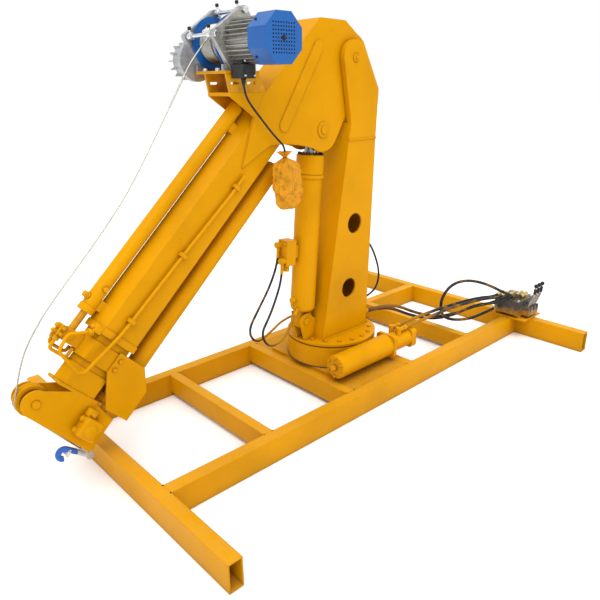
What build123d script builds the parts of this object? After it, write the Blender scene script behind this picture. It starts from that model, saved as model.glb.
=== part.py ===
from build123d import *
import math
import os

os.makedirs("parts", exist_ok=True)

# Driving sizes of a hydraulic crane on a tube frame, in millimetres and degrees.
# The origin is on the ground under the slew axis, the boom points along -X, and +Z is up.

# Base frame of square-cut tube
beam_height = 120
beam_width = 60
beam_length = 1780
beam_wall = 5
frame_front = 1385
frame_rear = 1355
rail_gap = 780
member_height = 100
member_width = 50
member_wall = 4
front_member_x = -796
deck_front_member_x = -259
deck_rear_member_x = 219
rear_member_x = 771
deck_thickness = 12
pad_length = 459
pad_width = 496
pad_thickness = 20

# Worm-driven slew ring
slew_radius = 245
slew_wall = 19
slew_height = 115
slew_floor = 12
ring_bore_radius = 120
ring_proud = 7
worm_offset = 272
worm_height = 67
worm_radius = 46
worm_shaft_radius = 20
worm_tube_radius = 62
worm_tube_wall = 12
worm_tube_front = 235
worm_tube_rear = 150
worm_cap_thickness = 14
worm_stub_radius = 14
worm_stub_length = 24
motor_flange_size = 128
motor_flange_thickness = 20
motor_body_radius = 54
motor_body_length = 150
motor_cap_length = 40
port_radius = 15
tooth_gap = 2
cap_chamfer = 4
flange_chamfer = 2
motor_body_round = 18
port_height = 34
port_spacing = 48

# Column weldment
flange_radius = 245
flange_thickness = 18
flange_hole_radius = 70
bolt_count = 18
bolt_circle_radius = 212
bolt_start = 16
bolt_shank_radius = 7
bolt_head_radius = 11
bolt_head_height = 9
post_width = 220
post_wall = 12
post_height = 1025
post_front_bottom = -175
post_front_top = -2
post_rear_bottom = 166
post_rear_top = 198
post_lip_height = 80
post_hole_radius = 53
lower_hole_rise = 253
upper_hole_rise = 600
ear_thickness = 30
ear_round = 80
pivot_x = 35
pivot_rise = 376
pivot_pin_radius = 22
pin_chamfer = 2
ear_shoulder_x = 209
ear_shoulder_rise = 235
ear_top_rear_x = 85
ear_top_rear_rise = 449

# Lift cylinder
lift_base_x = -226
lift_base_rise = 105
lift_pin_radius = 20
clevis_gap = 50
clevis_thickness = 13
clevis_round = 45
clevis_foot_front = -238
clevis_pin_overhang = 6
lift_eye_width = 46
lift_barrel_start = 58
lift_rod_show = 120.5
lift_gland_length = 92
lift_barrel_radius = 65
lift_bore_radius = 52
lift_gland_radius = 69
lift_rod_radius = 32
lift_rod_eye_radius = 55
lift_rod_eye_width = 120
lift_piston_length = 40
lift_piston_lead = 6
barrel_foot_lap = 4
lift_piston_start = 100
valve_start = 318
valve_length = 128
valve_depth = 62
valve_width = 66
valve_ports = ((102, 17), (26, -17))
elbow_reach = 14
elbow_drop = 26
elbow_radius = 8.5

# Six-sided telescopic boom
boom_droop = 43.3
boom_width = 140
boom_height = 250
ridge_rise = 40
section_wall = 6
section_gap = 6
outer_tail = 150
outer_reach = 1049
middle_tail = 20
middle_show = 113
inner_tail = -40
inner_show = 117
collar_length = 30
collar_thickness = 5
wear_pad_length = 60

# Boom root and its pins, measured along the boom and up from its centre line
root_thickness = 8
pivot_back = 660
pivot_drop = 125
root_round = 113
lift_back = 304
lift_drop = 231
lug_round = 102
root_top = 135
root_nose = 143
root_nose_rise = 7
root_top_front = -144
root_top_rear = -622
root_heel_back = -739
root_heel_rise = 21
root_throat_back = -25
root_throat_drop = 40
throat_depth = 18
root_nose_length = 194
root_nose_step = 27
strip_centre_back = -338
strip_centre_rise = 9
strip_length = 398
strip_tilt = 14
strip_width = 55
strip_thickness = 6
lift_boss_radius = 37
lift_boss_height = 6
lift_pin_overhang = 6
lift_stub_depth = 4

# Extension cylinders
upper_axis_rise = 161
upper_barrel_radius = 30
upper_barrel_wall = 6
upper_barrel_start = -55
upper_barrel_setback = 40
upper_rod_radius = 15
upper_pin_setback = 42
upper_eye_radius = 24
upper_lug_radius = 28
upper_pin_radius = 10
saddle_length = 46
saddle_width = 44
rear_saddle = 10
front_saddle_setback = 109
lower_axis_drop = 177
lower_barrel_radius = 41
lower_barrel_wall = 7
lower_barrel_start = -15
lower_barrel_overhang = 113
lower_rod_radius = 22
bracket_setback = 92
bracket_overhang = 128
bracket_plate = 8
bracket_depth = 78
bracket_band = 12

# Boom head, sheave and hook
head_plate_thickness = 12
cheek_gap = 92
cheek_thickness = 8
head_pin_overhang = 114
sheave_rise = 122
head_round = 54
cheek_back_overhang = 34
cheek_waist_rise = 30
cheek_nose_overhang = 188
cheek_drop = 206
cheek_top_overhang = 168
sheave_radius = 62
sheave_groove_radius = 53
sheave_width = 36
sheave_hub_radius = 26
sheave_pin_radius = 16
rod_block_height = 52
rod_block_length = 70
rod_pin_radius = 14
hook_y = -30
hook_bowl_ahead = 100
hook_bowl_rise = 50
hook_bowl_radius = 21
hook_bar_radius = 12
hook_shank_setback = 174.5
hook_shank_drop = 312.8
hook_eye_radius = 17
hook_pin_radius = 9
latch_setback = 12
latch_pin_radius = 3
latch_thickness = 2
latch_width = 12

# Rope winch, its axis across the boom
winch_x = -620
shelf_thickness = 15
shelf_drop = 147
shelf_front_x = -690
riser_thickness = 10
base_thickness = 12
base_rise = 84
base_near = -80
base_length = 170
frame_plate_y = -60
frame_plate_thickness = 12
frame_plate_margin = 84
frame_plate_corner = 18
frame_plate_turn = 33.5
drum_flange_radius = 106
drum_flange_thickness = 6
drum_gap = 6
drum_base_gap = 3
drum_length = 160
drum_core_radius = 70
drum_bore_radius = 20
rope_diameter = 7
winding_pitch = 7.8
winding_turns = 10
winding_margin = 1
gap_samples = 16
gap_skip = 12
motor_length = 185
motor_radius = 68
fin_radius = 86
fin_count = 28
fin_thickness = 3
fin_root = 4
fan_cover_width = 184
fan_cover_depth = 92
fan_cover_wall = 3
fan_radius = 76
fan_hub_radius = 18
fan_blades = 7
grid_hole = 6
grid_pitch = 13
grid_count = 9
gearbox_length = 104
gearbox_flange = 14
gearbox_rim = 26
gearbox_step = 14
gearbox_ribs = 14
gearbox_rib = 5
gearbox_cover = 26
gearbox_radius = 84
gearbox_shift = 66
gearbox_drop = 66
tie_rod_radius = 8
tie_rod_count = 3
tie_rod_gap = 16
rod_nut = 12
rod_nut_radius = 15
terminal_x = -655
terminal_y = -127
terminal_neck = 36
terminal_length = 86
terminal_width = 62
terminal_height = 52
terminal_corner = 6
terminal_gap = 2

# Controls on the rear beam
valve_bank_x = 1318
valve_bank_y = -330
section_pitch = 42
section_groove = 4
section_groove_depth = 6
spool_count = 3
bank_length = 165
bank_height = 92
bank_clear = 18
bracket_thickness = 10
lever_box_length = 54
lever_box_height = 58
lever_pin_radius = 5
lever_hub_radius = 14
lever_slot = 16
lever_floor = 2
union_radius = 12
union_height = 20
union_reach = 30
bank_ports = (-346, -376, -406, -436, -466)
front_inlet_y = -362
front_inlet_rise = 36
hose_diameter = 18
column_union = 30
column_ports = ((-60, 52), (-24, 26))
loop_ports = ((30, 465), (40, 76))
front_port_y = 66
front_port_rise = 112
thin_hose_diameter = 12
cable_diameter = 9
pipe_diameter = 14
pipe_start = 160
pipe_overhang = 173
pipe_stand_off = 8
pipe_return = ((137, 192, -78), (67, 192, -62), (7, 112, -62))
pipe_rounds = (200, 900, 500, 26, 26, 26)
clip_length = 18
tip_block_length = 50
tip_block_height = 20
tip_pipe_bends = ((34, -15), (18, 15))
tip_pipe_setback = 10
tip_pipe_round = 14
port_setback = 60
lever_radius = 6
lever_rise = 175
lever_lean = 22
lever_knee = 0.6
lever_kick = 4
lever_knob_radius = 13

# Hanging hand control in its bag
bag_top_x = -433
bag_y = -120
bag_top_z = 1262
bag_drop = 240
bag_width = 160
bag_thickness = 52
bag_neck_radius = 12
bag_knot_radius = 6
bag_knot_width = 14
bag_lean = 24

# Clearances
running = 0.05
slide_clear = 0.3

# Heights and places that follow from the sizes above
beam_top = beam_height
pad_top = beam_top + pad_thickness
slew_top = pad_top + slew_height
ring_top = slew_top + ring_proud
flange_top = ring_top + flange_thickness
post_top = flange_top + post_height
pivot_z = post_top + pivot_rise
lift_base_z = flange_top + lift_base_rise
shelf_top = pivot_z - shelf_drop
base_top = shelf_top + base_rise
winch_z = base_top + drum_base_gap + drum_flange_radius
tie_rod_reach = drum_flange_radius + tie_rod_gap
frame_plate_size = tie_rod_reach + frame_plate_margin
rail_inner = rail_gap / 2
rail_front = -frame_front + beam_width
rail_rear = frame_rear - beam_width
droop = math.radians(boom_droop)
along = Vector(-math.cos(droop), 0, -math.sin(droop))
above = Vector(-math.sin(droop), 0, math.cos(droop))
pivot = Vector(pivot_x, 0, pivot_z)
boom_origin = pivot + along * pivot_back + above * pivot_drop
middle_reach = outer_reach + middle_show
inner_reach = middle_reach + inner_show
upper_barrel_end = outer_reach - upper_barrel_setback
front_saddle = outer_reach - front_saddle_setback
upper_pin_station = middle_reach - upper_pin_setback
lower_barrel_end = middle_reach + lower_barrel_overhang
bracket_start = middle_reach - bracket_setback
bracket_end = middle_reach + bracket_overhang
head_pin_station = inner_reach + head_pin_overhang
boom_side = Plane(origin=boom_origin, x_dir=along, z_dir=(0, 1, 0))
near_side = Plane(origin=(0, 0, 0), x_dir=(1, 0, 0), z_dir=(0, -1, 0))
across = Plane(origin=(0, 0, 0), x_dir=(0, 1, 0), z_dir=(1, 0, 0))


def on_boom(station, rise, y=0):
    return boom_origin + along * station + above * rise + Vector(0, y, 0)


def boom_section(station):
    return Plane(origin=on_boom(station, 0), x_dir=(0, -1, 0), z_dir=along)


def finish(builder, name):
    builder.part.label = name
    export_step(builder.part, f"parts/{name}.step")


def six_sided(inset, mode=Mode.ADD):
    # Boom outline drawn in by an even wall: upright sides with a ridge at top and bottom.
    half = boom_width / 2 - inset
    slope = ridge_rise / (boom_width / 2)
    ridge = boom_height / 2 - inset * math.hypot(1, slope)
    corner = ridge - slope * half
    right = [(half, -corner), (half, corner)]
    left = [(-half, corner), (-half, -corner)]
    return Polygon(*right, (0, ridge), *left, (0, -ridge), align=None, mode=mode)


def ridge_at(inset):
    return boom_height / 2 - inset * math.hypot(1, ridge_rise / (boom_width / 2))


# Frame: two cross beams, two rails between them and four lower cross members, all square-cut tube
def tube_section(width, height, wall):
    Rectangle(width, height)
    Rectangle(width - 2 * wall, height - 2 * wall, mode=Mode.SUBTRACT)


beam_middle = beam_height / 2
with BuildPart() as cross_beams:
    with BuildSketch(near_side.offset(-beam_length / 2)):
        with Locations(
            (-frame_front + beam_width / 2, beam_middle),
            (rail_rear + beam_width / 2, beam_middle),
        ):
            tube_section(beam_width, beam_height, beam_wall)
    extrude(amount=beam_length)
finish(cross_beams, "cross_beams")

with BuildPart() as side_rails:
    with BuildSketch(across.offset(rail_front)):
        with Locations(
            (-rail_inner - beam_width / 2, beam_middle),
            (rail_inner + beam_width / 2, beam_middle),
        ):
            tube_section(beam_width, beam_height, beam_wall)
    extrude(amount=rail_rear - rail_front)
finish(side_rails, "side_rails")

member_places = (front_member_x, deck_front_member_x, deck_rear_member_x, rear_member_x)
with BuildPart() as cross_members:
    with BuildSketch(near_side.offset(-rail_inner)):
        with Locations(*[(member_x, beam_top - member_height / 2) for member_x in member_places]):
            tube_section(member_width, member_height, member_wall)
    extrude(amount=rail_gap)
finish(cross_members, "cross_members")

# Deck let in flush between the two middle members, with the slew pad welded on it
deck_front = deck_front_member_x + member_width / 2
deck_rear = deck_rear_member_x - member_width / 2
with BuildPart() as deck_plate:
    with BuildSketch(Plane.XY.offset(beam_top - deck_thickness)):
        with Locations(((deck_front + deck_rear) / 2, 0)):
            Rectangle(deck_rear - deck_front, rail_gap)
    extrude(amount=deck_thickness)
finish(deck_plate, "deck_plate")

with BuildPart() as slew_pad:
    with BuildSketch(Plane.XY.offset(beam_top)):
        Rectangle(pad_length, pad_width)
        Circle(ring_bore_radius, mode=Mode.SUBTRACT)
    extrude(amount=pad_thickness)
finish(slew_pad, "slew_pad")

# Slew drive: a floored ring housing with a worm tube beside it
worm_z = pad_top + worm_height
worm_line = across.offset(-worm_tube_front)
cavity_radius = slew_radius - slew_wall
ring_radius = worm_offset - worm_radius - tooth_gap
worm_bore_radius = worm_tube_radius - worm_tube_wall
with BuildPart() as slew_housing:
    with BuildSketch(Plane.XY.offset(pad_top)):
        Circle(slew_radius)
    extrude(amount=slew_height)
    fillet(slew_housing.edges().filter_by(GeomType.CIRCLE).group_by(Axis.Z)[0], radius=slew_floor / 2)
    with BuildSketch(worm_line):
        with Locations((-worm_offset, worm_z)):
            Circle(worm_tube_radius)
    extrude(amount=worm_tube_front + worm_tube_rear)
    with BuildSketch(across.offset(worm_tube_rear)):
        with Locations((-worm_offset, worm_z)):
            RectangleRounded(motor_flange_size, motor_flange_size, motor_flange_thickness)
    extrude(amount=motor_flange_thickness)
    with BuildSketch(Plane.XY.offset(pad_top + slew_floor)):
        Circle(cavity_radius)
    extrude(amount=slew_height, mode=Mode.SUBTRACT)
    with BuildSketch(Plane.XY.offset(pad_top)):
        Circle(ring_bore_radius)
    extrude(amount=slew_height, mode=Mode.SUBTRACT)
    with BuildSketch(worm_line):
        with Locations((-worm_offset, worm_z)):
            Circle(worm_bore_radius)
    extrude(amount=worm_tube_front + worm_tube_rear + motor_flange_thickness, mode=Mode.SUBTRACT)
finish(slew_housing, "slew_housing")

with BuildPart() as worm_cap:
    with BuildSketch(across.offset(-worm_tube_front - worm_cap_thickness)):
        with Locations((-worm_offset, worm_z)):
            Circle(worm_tube_radius)
            Circle(worm_stub_radius + running, mode=Mode.SUBTRACT)
    extrude(amount=worm_cap_thickness)
    cap_face_edges = worm_cap.edges().filter_by(GeomType.CIRCLE).group_by(Axis.X)[0]
    chamfer(cap_face_edges.sort_by(SortBy.RADIUS)[-1], length=cap_chamfer)
finish(worm_cap, "worm_cap")

with BuildPart() as worm:
    with BuildSketch(across.offset(-worm_tube_front - worm_stub_length)):
        with Locations((-worm_offset, worm_z)):
            Circle(worm_stub_radius)
    extrude(amount=worm_stub_length + slide_clear)
    with BuildSketch(across.offset(-worm_tube_front + slide_clear)):
        with Locations((-worm_offset, worm_z)):
            Circle(worm_shaft_radius)
    extrude(amount=worm_tube_front + worm_tube_rear)
    with BuildSketch(across.offset(-worm_tube_front / 2)):
        with Locations((-worm_offset, worm_z)):
            Circle(worm_radius)
    extrude(amount=worm_tube_front / 2 + worm_tube_rear / 2)
finish(worm, "worm")

motor_start = worm_tube_rear + motor_flange_thickness
port_exit_z = worm_z + motor_body_radius + port_height - port_radius
with BuildPart() as slew_motor:
    with BuildSketch(across.offset(motor_start)):
        with Locations((-worm_offset, worm_z)):
            Circle(motor_body_radius)
    extrude(amount=motor_body_length)
    with BuildSketch(across.offset(motor_start + motor_body_length)):
        with Locations((-worm_offset, worm_z)):
            RectangleRounded(2 * motor_body_radius, 2 * motor_body_radius, motor_body_round)
    extrude(amount=motor_cap_length)
    with BuildSketch(Plane.XY.offset(worm_z)):
        with Locations((motor_start + port_setback, -worm_offset)):
            with GridLocations(1, port_spacing, 1, 2):
                Circle(port_radius)
    extrude(amount=motor_body_radius + port_height)
    with BuildSketch(across.offset(motor_start + port_setback)):
        with Locations((-worm_offset, port_exit_z)):
            with GridLocations(port_spacing, 1, 2, 1):
                Circle(union_radius)
    extrude(amount=union_reach)
finish(slew_motor, "slew_motor")

# Flange bolts stand on one circle, without the one that the lift clevis covers
bolt_places = []
for index in range(bolt_count):
    angle = math.radians(bolt_start + index * 360 / bolt_count)
    place = (bolt_circle_radius * math.cos(angle), bolt_circle_radius * math.sin(angle))
    under_clevis = place[0] < 0 and abs(place[1]) < clevis_gap / 2 + clevis_thickness
    if not under_clevis:
        bolt_places.append(place)

# The driven ring turns on the housing floor and carries the column
with BuildPart() as slew_ring:
    with BuildSketch(Plane.XY.offset(pad_top + slew_floor + slide_clear)):
        Circle(ring_radius)
        Circle(ring_bore_radius, mode=Mode.SUBTRACT)
    extrude(amount=ring_top - pad_top - slew_floor - slide_clear)
    with BuildSketch(Plane.XY.offset(ring_top)):
        with Locations(*bolt_places):
            Circle(bolt_shank_radius)
    extrude(amount=-2 * flange_thickness, mode=Mode.SUBTRACT)
finish(slew_ring, "slew_ring")

# Column: bolted flange, tapered box post, two thick ears round the boom's pivot
with BuildPart() as column_flange:
    with BuildSketch(Plane.XY.offset(ring_top)):
        Circle(flange_radius)
        Circle(flange_hole_radius, mode=Mode.SUBTRACT)
        with Locations(*bolt_places):
            Circle(bolt_shank_radius, mode=Mode.SUBTRACT)
    extrude(amount=flange_thickness)
    flange_edges = column_flange.edges().filter_by(GeomType.CIRCLE).sort_by(SortBy.RADIUS)[-2:]
    chamfer(flange_edges, length=flange_chamfer)
finish(column_flange, "column_flange")

with BuildPart() as flange_bolts:
    with BuildSketch(Plane.XY.offset(ring_top - flange_thickness)):
        with Locations(*bolt_places):
            Circle(bolt_shank_radius)
    extrude(amount=2 * flange_thickness)
    with BuildSketch(Plane.XY.offset(flange_top)):
        with Locations(*bolt_places):
            RegularPolygon(bolt_head_radius, 6)
    extrude(amount=bolt_head_height)
finish(flange_bolts, "flange_bolts")


def post_front(z):
    share = (z - flange_top) / post_height
    return post_front_bottom + (post_front_top - post_front_bottom) * share


def post_rear(z):
    share = (z - flange_top) / post_height
    return post_rear_bottom + (post_rear_top - post_rear_bottom) * share


lip_top = post_top + post_lip_height
ear_inner = post_width / 2 - ear_thickness


def post_outline(bottom, top, inset, mode=Mode.ADD):
    front_low = (post_front(bottom) + inset, bottom)
    rear_low = (post_rear(bottom) - inset, bottom)
    rear_high = (post_rear(top) - inset, top)
    front_high = (post_front(top) + inset, top)
    return Polygon(front_low, rear_low, rear_high, front_high, align=None, mode=mode)


with BuildPart() as column_post:
    with BuildSketch(near_side):
        post_outline(flange_top, post_top, 0)
    extrude(amount=post_width / 2, both=True)
    with BuildSketch(near_side):
        post_outline(post_top, lip_top, 0)
    extrude(amount=ear_inner, both=True)
    with BuildSketch(near_side):
        post_outline(flange_top, lip_top, post_wall)
    extrude(amount=ear_inner - post_wall, both=True, mode=Mode.SUBTRACT)
    with BuildSketch(near_side):
        post_outline(flange_top, post_top - post_wall, post_wall)
    extrude(amount=post_width / 2 - post_wall, both=True, mode=Mode.SUBTRACT)
    with BuildSketch(near_side):
        for rise in (lower_hole_rise, upper_hole_rise):
            hole_z = flange_top + rise
            hole_x = (post_front(hole_z) + post_rear(hole_z)) / 2
            with Locations((hole_x, hole_z)):
                Circle(post_hole_radius)
    extrude(amount=post_width / 2, mode=Mode.SUBTRACT)
    for port_y, port_rise in (*column_ports, *loop_ports):
        port_z = flange_top + port_rise
        with BuildSketch(across.offset(post_rear(port_z) - post_wall / 2)):
            with Locations((port_y, port_z)):
                Circle(union_radius)
        extrude(amount=column_union + post_wall / 2)
    with BuildSketch(across.offset(post_front(flange_top + front_port_rise) + post_wall / 2)):
        with Locations((front_port_y, flange_top + front_port_rise)):
            Circle(union_radius)
    extrude(amount=-column_union - post_wall / 2)
finish(column_post, "column_post")

pivot_point = (pivot_x, pivot_z)
with BuildPart() as column_ears:
    for inner_face in (ear_inner, -post_width / 2):
        with BuildSketch(near_side.offset(inner_face)):
            with BuildLine():
                Polyline(
                    (post_front(post_top), post_top),
                    (post_rear(post_top), post_top),
                    (ear_shoulder_x, post_top + ear_shoulder_rise),
                    (ear_top_rear_x, post_top + ear_top_rear_rise),
                    pivot_point,
                    (pivot_x - ear_round, pivot_z),
                    (post_front(lip_top), lip_top),
                    close=True,
                )
            make_face()
            with Locations(pivot_point):
                Circle(ear_round)
                Circle(pivot_pin_radius, mode=Mode.SUBTRACT)
        extrude(amount=ear_thickness)
finish(column_ears, "column_ears")

# Clevis for the lift cylinder, on the flange in front of the post
lift_base = Vector(lift_base_x, 0, lift_base_z)
lift_base_point = (lift_base_x, lift_base_z)
with BuildPart() as lift_clevis:
    for inner_face in (clevis_gap / 2, -clevis_gap / 2 - clevis_thickness):
        with BuildSketch(near_side.offset(inner_face)):
            with BuildLine():
                Polyline(
                    (clevis_foot_front, flange_top),
                    (post_front(flange_top), flange_top),
                    (post_front(lift_base_z), lift_base_z),
                    (lift_base_x, lift_base_z + clevis_round),
                    (lift_base_x - clevis_round, lift_base_z),
                    close=True,
                )
            make_face()
            with Locations(lift_base_point):
                Circle(clevis_round)
                Circle(lift_pin_radius, mode=Mode.SUBTRACT)
        extrude(amount=clevis_thickness)
finish(lift_clevis, "lift_clevis")

clevis_outer = clevis_gap / 2 + clevis_thickness
with BuildPart() as column_pins:
    for mark, radius, half_length in (
        (pivot_point, pivot_pin_radius, post_width / 2),
        (lift_base_point, lift_pin_radius, clevis_outer + clevis_pin_overhang),
    ):
        with BuildSketch(near_side):
            with Locations(mark):
                Circle(radius)
        extrude(amount=half_length, both=True)
    chamfer(column_pins.edges().filter_by(GeomType.CIRCLE), length=pin_chamfer)
finish(column_pins, "column_pins")

# Lift cylinder, from the clevis up to the boom root's lug
lift_eye = on_boom(-lift_back, -lift_drop)
lift_length = (lift_eye - lift_base).length
lift_axis = Plane(origin=lift_base, x_dir=(0, 1, 0), z_dir=lift_eye - lift_base)
lift_side = Plane(origin=lift_base, x_dir=lift_axis.z_dir, z_dir=(0, -1, 0))
gland_top = round(lift_length - lift_rod_show)
gland_start = gland_top - lift_gland_length

with BuildPart() as lift_barrel:
    with BuildSketch(lift_axis.offset(lift_barrel_start)):
        Circle(lift_barrel_radius)
    extrude(amount=gland_start - lift_barrel_start)
    barrel_rims = lift_barrel.edges().filter_by(GeomType.CIRCLE).sort_by(Axis.Z)
    fillet(barrel_rims[0], radius=lift_barrel_radius / 3)
    with BuildSketch(lift_side):
        with Locations((0, 0)):
            Circle(clevis_round)
        with Locations(((lift_barrel_start + barrel_foot_lap) / 2, 0)):
            Rectangle(lift_barrel_start + barrel_foot_lap, 2 * clevis_round)
    extrude(amount=lift_eye_width / 2, both=True)
    with BuildSketch(lift_side):
        Circle(lift_pin_radius + running)
    extrude(amount=lift_eye_width, both=True, mode=Mode.SUBTRACT)
    with BuildSketch(lift_axis.offset(lift_piston_start - lift_piston_lead)):
        Circle(lift_bore_radius)
    extrude(amount=lift_length, mode=Mode.SUBTRACT)
finish(lift_barrel, "lift_barrel")

with BuildPart() as lift_gland:
    with BuildSketch(lift_axis.offset(gland_start)):
        Circle(lift_gland_radius)
        Circle(lift_rod_radius + running, mode=Mode.SUBTRACT)
    extrude(amount=lift_gland_length)
    chamfer(lift_gland.edges().filter_by(GeomType.CIRCLE).sort_by(Axis.Z)[-1], length=1)
finish(lift_gland, "lift_gland")

with BuildPart() as lift_rod:
    with BuildSketch(lift_axis.offset(lift_piston_start)):
        Circle(lift_bore_radius - running)
    extrude(amount=lift_piston_length)
    with BuildSketch(lift_axis.offset(lift_piston_start)):
        Circle(lift_rod_radius)
    extrude(amount=lift_length - lift_piston_start - lift_rod_eye_radius / 2)
    with BuildSketch(lift_side):
        with Locations((lift_length, 0)):
            Circle(lift_rod_eye_radius)
    extrude(amount=lift_rod_eye_width / 2, both=True)
finish(lift_rod, "lift_rod")

# Holding valve block on the barrel's front, with two unions and a drain stub
valve_face = Plane(origin=lift_base, x_dir=lift_axis.z_dir, z_dir=lift_axis.y_dir)
valve_centre = valve_start + valve_length / 2
valve_back = lift_barrel_radius + valve_depth / 2
valve_front = valve_back + valve_depth
with BuildPart() as lift_valve:
    with BuildSketch(valve_face.offset(lift_barrel_radius + running)):
        with Locations((valve_centre, 0)):
            Rectangle(valve_length / 2, valve_width / 2)
    extrude(amount=valve_depth / 2)
    with BuildSketch(valve_face.offset(valve_back)):
        with Locations((valve_centre, 0)):
            Rectangle(valve_length, valve_width)
    extrude(amount=valve_depth)
    for port_station, port_side in valve_ports:
        with BuildSketch(valve_face.offset(valve_front)):
            with Locations((valve_start + port_station, port_side)):
                Circle(port_radius)
        extrude(amount=elbow_reach + port_radius)
        with BuildSketch(lift_axis.offset(valve_start + port_station)):
            with Locations((port_side, valve_front + elbow_reach)):
                Circle(elbow_radius)
        extrude(amount=-elbow_drop)
    with BuildSketch(lift_axis.offset(valve_start)):
        with Locations((0, valve_back + valve_depth / 2)):
            Circle(port_radius)
    extrude(amount=-port_height)
finish(lift_valve, "lift_valve")

# Outer boom section: a folded six-sided tube with a front collar and two saddles on its ridge
upper_place = (0, upper_axis_rise)
lower_place = (0, -lower_axis_drop)
middle_inset = section_wall + section_gap
inner_inset = 2 * middle_inset
with BuildPart() as outer_section:
    with BuildSketch(boom_section(-outer_tail)):
        six_sided(0)
    extrude(amount=outer_tail + outer_reach)
    with BuildSketch(boom_section(outer_reach - collar_length)):
        six_sided(-collar_thickness)
    extrude(amount=collar_length)
    for station in (rear_saddle, front_saddle):
        with BuildSketch(boom_section(station)):
            with Locations((0, upper_axis_rise / 2)):
                Rectangle(saddle_width, upper_axis_rise)
        extrude(amount=saddle_length)
        with BuildSketch(boom_section(station)):
            with Locations(upper_place):
                Circle(upper_barrel_radius)
        extrude(amount=saddle_length, mode=Mode.SUBTRACT)
    with BuildSketch(boom_section(-outer_tail)):
        six_sided(section_wall)
    extrude(amount=outer_tail + outer_reach, mode=Mode.SUBTRACT)
finish(outer_section, "outer_section")

with BuildPart() as outer_wear_pad:
    with BuildSketch(boom_section(outer_reach - wear_pad_length)):
        six_sided(section_wall)
        six_sided(middle_inset - slide_clear, mode=Mode.SUBTRACT)
    extrude(amount=wear_pad_length)
finish(outer_wear_pad, "outer_wear_pad")

# Root plates, one on each upright side of the outer section, with the pivot and the lift lug
pivot_mark = (-pivot_back, -pivot_drop)
lift_mark = (-lift_back, -lift_drop)
lug_reach = lug_round / math.sqrt(2)
lug_edge = (-lift_back + lug_reach, -lift_drop - lug_reach)
throat = (root_throat_back, -root_throat_drop)
throat_bow = Vector(*throat) - Vector(*lug_edge)
throat_middle = (Vector(*throat) + Vector(*lug_edge)) * 0.5
throat_pull = throat_middle + Vector(-throat_bow.Y, throat_bow.X).normalized() * throat_depth
nose = (root_nose, root_nose_rise)


def root_outline():
    with Locations(pivot_mark):
        Circle(root_round)
    with Locations(lift_mark):
        Circle(lug_round)
    make_hull()
    with BuildLine() as edge:
        Polyline(
            throat,
            nose,
            (root_nose - root_nose_length, root_top - root_nose_step),
            (root_top_front, root_top),
            (root_top_rear, root_top),
            (root_heel_back, root_heel_rise),
            (-pivot_back - root_round, -pivot_drop),
            pivot_mark,
            lift_mark,
            lug_edge,
        )
        ThreePointArc(lug_edge, (throat_pull.X, throat_pull.Y), throat)
    make_face(edge.edges())


root_inner = boom_width / 2
root_outer = root_inner + root_thickness
boss_outer = root_outer + lift_boss_height
lift_pin_end = boss_outer + lift_pin_overhang
with BuildPart() as root_plates:
    for inner_face in (root_inner, -root_outer):
        with BuildSketch(boom_side.offset(inner_face)):
            root_outline()
            with Locations(pivot_mark):
                Circle(pivot_pin_radius + running, mode=Mode.SUBTRACT)
        extrude(amount=root_thickness)
    for boss_face in (root_outer, -boss_outer):
        with BuildSketch(boom_side.offset(boss_face)):
            with Locations(lift_mark):
                Circle(lift_boss_radius)
        extrude(amount=lift_boss_height)
    for outer_face, turn in ((lift_pin_end, -1), (-lift_pin_end, 1)):
        with BuildSketch(boom_side.offset(outer_face)):
            with Locations(lift_mark):
                Circle(lift_pin_radius)
        extrude(amount=turn * (lift_pin_end - root_inner + lift_stub_depth))
    with BuildSketch(boom_side.offset(-root_outer - strip_thickness)):
        with Locations((strip_centre_back, strip_centre_rise)):
            SlotCenterToCenter(strip_length, strip_width, rotation=-strip_tilt)
    extrude(amount=strip_thickness)
    with BuildSketch(boom_side):
        with Locations(((root_top_front + root_top_rear) / 2, root_top - root_thickness / 2)):
            Rectangle(root_top_front - root_top_rear, root_thickness)
    extrude(amount=root_inner, both=True)
finish(root_plates, "root_plates")

# Middle section, with its pads, the bracket that pulls it out and the lower cylinder it carries
with BuildPart() as middle_section:
    with BuildSketch(boom_section(-middle_tail)):
        six_sided(middle_inset)
    extrude(amount=middle_tail + middle_reach)
    with BuildSketch(boom_section(outer_reach + collar_length)):
        six_sided(middle_inset - collar_thickness)
    extrude(amount=middle_reach - outer_reach - collar_length)
    with BuildSketch(boom_section(-middle_tail)):
        six_sided(middle_inset + section_wall)
    extrude(amount=middle_tail + middle_reach, mode=Mode.SUBTRACT)
finish(middle_section, "middle_section")

with BuildPart() as middle_wear_pads:
    with BuildSketch(boom_section(middle_reach - wear_pad_length)):
        six_sided(middle_inset + section_wall)
        six_sided(inner_inset - slide_clear, mode=Mode.SUBTRACT)
    extrude(amount=wear_pad_length)
    with BuildSketch(boom_section(-middle_tail)):
        six_sided(section_wall + slide_clear)
        six_sided(middle_inset, mode=Mode.SUBTRACT)
    extrude(amount=wear_pad_length)
finish(middle_wear_pads, "middle_wear_pads")

with BuildPart() as upper_barrel:
    with BuildSketch(boom_section(upper_barrel_start)):
        with Locations(upper_place):
            Circle(upper_barrel_radius)
    extrude(amount=upper_barrel_end - upper_barrel_start)
    with BuildSketch(boom_section(upper_barrel_start + upper_barrel_radius)):
        with Locations(upper_place):
            Circle(upper_barrel_radius - upper_barrel_wall)
    extrude(amount=upper_barrel_end - upper_barrel_start - 2 * upper_barrel_radius, mode=Mode.SUBTRACT)
    with BuildSketch(boom_section(upper_barrel_start + upper_barrel_radius)):
        with Locations(upper_place):
            Circle(upper_rod_radius + running)
    extrude(amount=upper_barrel_end - upper_barrel_start, mode=Mode.SUBTRACT)
finish(upper_barrel, "upper_barrel")

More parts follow.
